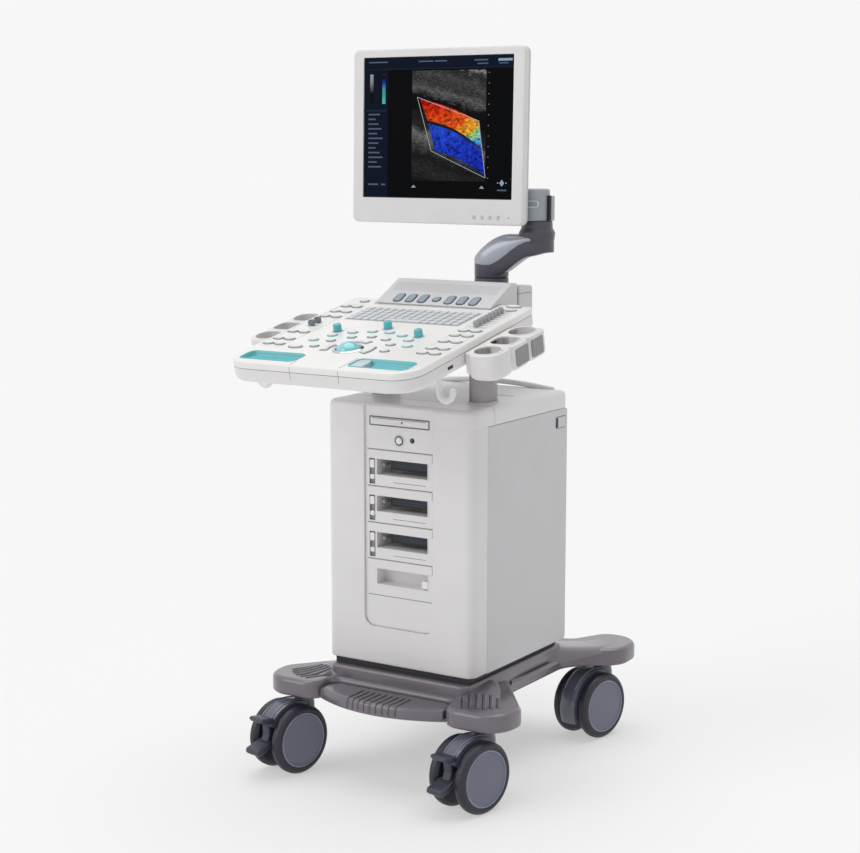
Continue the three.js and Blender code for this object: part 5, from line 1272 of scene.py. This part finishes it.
screenNavy = glowing("display_navy", "#0b1424")
screenBlue = glowing("display_band_blue", "#16263c")
markPale = glowing("display_mark_pale", "#8fa3b8")
markDim = glowing("display_mark_dim", "#4d5f74")
gatePale = glowing("display_outline", "#b9c2cc")
showPatch("display_field", [area(0.004, 0.996, 0.004, 0.996)], glowing("display_black", "#050608"))
showPatch("display_bands", [area(0.0, 0.165, 0.0, 1.0, 1), area(0.165, 1.0, 0.0, 0.085, 1)], screenNavy)
showPatch("display_headers", [area(0.01, 0.155, 0.37, 0.385, 2), area(0.0, 1.0, 0.083, 0.089, 2)], screenBlue)
barSpan = (1.262, 1.322)
greyBar = rampTone("display_grey_bar", [(0, "#101010"), (1, "#e8e8e8")], barSpan)
showPatch("display_scale_grey", [area(0.04, 0.062, 0.12, 0.33, 3)], greyBar)
flowStops = [(0, "#58d6c0"), (0.3, "#2050d8"), (0.48, "#0a0a20")]
flowStops += [(0.52, "#200505"), (0.7, "#c8200c"), (1, "#f8c040")]
flowBar = rampTone("display_colour_bar", flowStops, barSpan)
showPatch("display_scale_colour", [area(0.125, 0.147, 0.12, 0.33, 3)], flowBar)

# the scan: grey layers of tissue, with a vessel in warm colours over one in cool colours
tissueStops = [(0.0, "#161616"), (0.1, "#2b2b2b"), (0.2, "#1a1a1a"), (0.27, "#3c3c3c"), (0.36, "#707070")]
tissueStops += [(0.42, "#2a2a2a"), (0.55, "#0c0c0c"), (0.66, "#101010"), (0.72, "#626262"), (0.78, "#3a3a3a")]
tissueStops += [(0.86, "#4c4c4c"), (0.93, "#2c2c2c"), (0.97, "#8a8a8a"), (1.0, "#1a1a1a")]
tissue = rampTone("display_tissue", tissueStops, (1.075, 1.325), 0.28, 0.035, 1.1, 420.0, (0.35, 1, 1.5))
showPatch("display_scan", [area(0.33, 0.82, 0.1, 0.875, 1)], tissue)
warmStops = [(0.0, "#2a2fd0"), (0.16, "#4aa8e8"), (0.3, "#a8e070")]
warmStops += [(0.38, "#f8b030"), (0.55, "#f05a18"), (1.0, "#c81408")]
warmFlow = rampTone("display_flow_warm", warmStops, (1.175, 1.30), -0.35, 0.05, 1.05, 160.0, (0.6, 1, 1))
artery = vesselPatch((0.385, 0.30, 0.775, 0.46, 0.02), (0.435, 0.45, 0.795, 0.645, 0.035), 3)
showPatch("display_artery", [artery], warmFlow)
coolStops = [(0.0, "#1426a0"), (0.5, "#1c3ad0"), (1.0, "#2a55e8")]
coolFlow = rampTone("display_flow_cool", coolStops, (1.10, 1.22), 0.0, 0.03, 0.9, 150.0)
vein = vesselPatch((0.443, 0.475, 0.797, 0.665, 0.035), (0.485, 0.66, 0.815, 0.83, 0.02), 3)
showPatch("display_vein", [vein], coolFlow)
gate = [(0.365, 0.285), (0.775, 0.455), (0.822, 0.85), (0.462, 0.665)]
showPatch("display_gate", [stroke(a, b) for a, b in zip(gate, gate[1:] + gate[:1])], gatePale)

# rows of plain bars stand where a reader would see settings, and small marks where the scale is
rowWidths = (0.08, 0.05, 0.07, 0.09, 0.06, 0.1, 0.07, 0.05, 0.08, 0.1, 0.06, 0.09)
marks = [area(0.03, 0.03 + w, 0.4 + 0.034 * i, 0.411 + 0.034 * i, 3) for i, w in enumerate(rowWidths)]
marks += [area(x, x + w, 0.03, 0.04, 3) for x, w in ((0.03, 0.13), (0.37, 0.1), (0.48, 0.08), (0.74, 0.09))]
marks += [area(x, x + w, 0.055, 0.064, 3) for x, w in ((0.76, 0.07), (0.9, 0.06))]
marks += [area(0.03, 0.1, 0.9, 0.912, 3), area(0.12, 0.15, 0.9, 0.912, 3), area(0.9, 0.96, 0.93, 0.94, 3)]
showPatch("display_rows", marks, markDim)
ticks = [area(0.835, 0.841, 0.12 + 0.073 * i, 0.124 + 0.073 * i, 3) for i in range(11)]
triangles = [onScreen([(x, 0.905), (x + 0.016, 0.925), (x - 0.016, 0.925)], 3) for x in (0.345, 0.8)]
diamond = onScreen([(0.93, 0.86), (0.945, 0.885), (0.93, 0.91), (0.915, 0.885)], 3)
besideIt = [area(x, x + 0.008, 0.88, 0.888, 3) for x in (0.9, 0.953)]
badge = area(0.895, 0.985, 0.028, 0.045, 3)
showPatch("display_ticks", [*ticks, *triangles, diamond, *besideIt, badge], markPale)
print("display made")

# stage: pale floor, soft light, and the camera
floorHalf = 40  # metres, far enough that its edge is never seen
corners = [(x * floorHalf, y * floorHalf, 0) for x, y in ((-1, -1), (1, -1), (1, 1), (-1, 1))]
floor = bpy.data.meshes.new("floor")
floor.from_pydata(corners, [], [(0, 1, 2, 3)])
floorPiece = bpy.data.objects.new("floor", floor)
bpy.context.scene.collection.objects.link(floorPiece)
lift = {"Emission Color": (1, 1, 1, 1), "Emission Strength": 0.46, "Specular IOR Level": 0.0}
floor.materials.append(surface("painted_floor", "#b6b6b6", 0.9, grain=3.0, mottle=0.003, more=lift))


def softSun(name, direction, power, spread):
    # a wide, distant lamp that shines along the direction
    lamp = bpy.data.lights.new(name, "SUN")
    lamp.energy, lamp.angle = power, math.radians(spread)
    made = bpy.data.objects.new(name, lamp)
    bpy.context.scene.collection.objects.link(made)
    ahead = np.array(direction, float) / np.linalg.norm(direction)
    made.rotation_euler = (math.acos(-ahead[2]), 0, math.atan2(-ahead[0], ahead[1]))


softSun("overhead", (0.05, -0.1, -1), 1.6, 60)
softSun("left_key", (0.45, 0.75, -0.5), 0.75, 40)

# the room lights the object softly, and looks brighter to the camera and in reflections
world = bpy.data.worlds.new("studio")
world.use_nodes = True
bpy.context.scene.world = world
room = world.node_tree
room.nodes.clear()
rays = addNode(room, "ShaderNodeLightPath").outputs
either = {0: rays["Is Camera Ray"], 1: rays["Is Glossy Ray"]}
seen = addNode(room, "ShaderNodeMath", either, operation="MAXIMUM")
power = addNode(room, "ShaderNodeMapRange", {"Value": seen.outputs[0], "To Min": 0.38, "To Max": 0.93})
sky = addNode(room, "ShaderNodeBackground", {"Color": (1, 1, 1, 1), "Strength": power.outputs["Result"]})
addNode(room, "ShaderNodeOutputWorld", {"Surface": sky.outputs["Background"]})
bpy.context.scene.view_settings.view_transform = "Standard"

camera = {"lens": 77.5, "sensor": 36, "eye": (1823.3, -2743.1, 1182.7), "down": 8.8, "turn": 32.6}
view = bpy.data.cameras.new("view")
view.lens, view.sensor_width = camera["lens"], camera["sensor"]
eye = bpy.data.objects.new("view", view)
bpy.context.scene.collection.objects.link(eye)
eye.location = (np.array(camera["eye"]) / 1000 + shift).tolist()
eye.rotation_euler = (math.radians(90 - camera["down"]), 0, math.radians(camera["turn"]))
bpy.context.scene.camera = eye
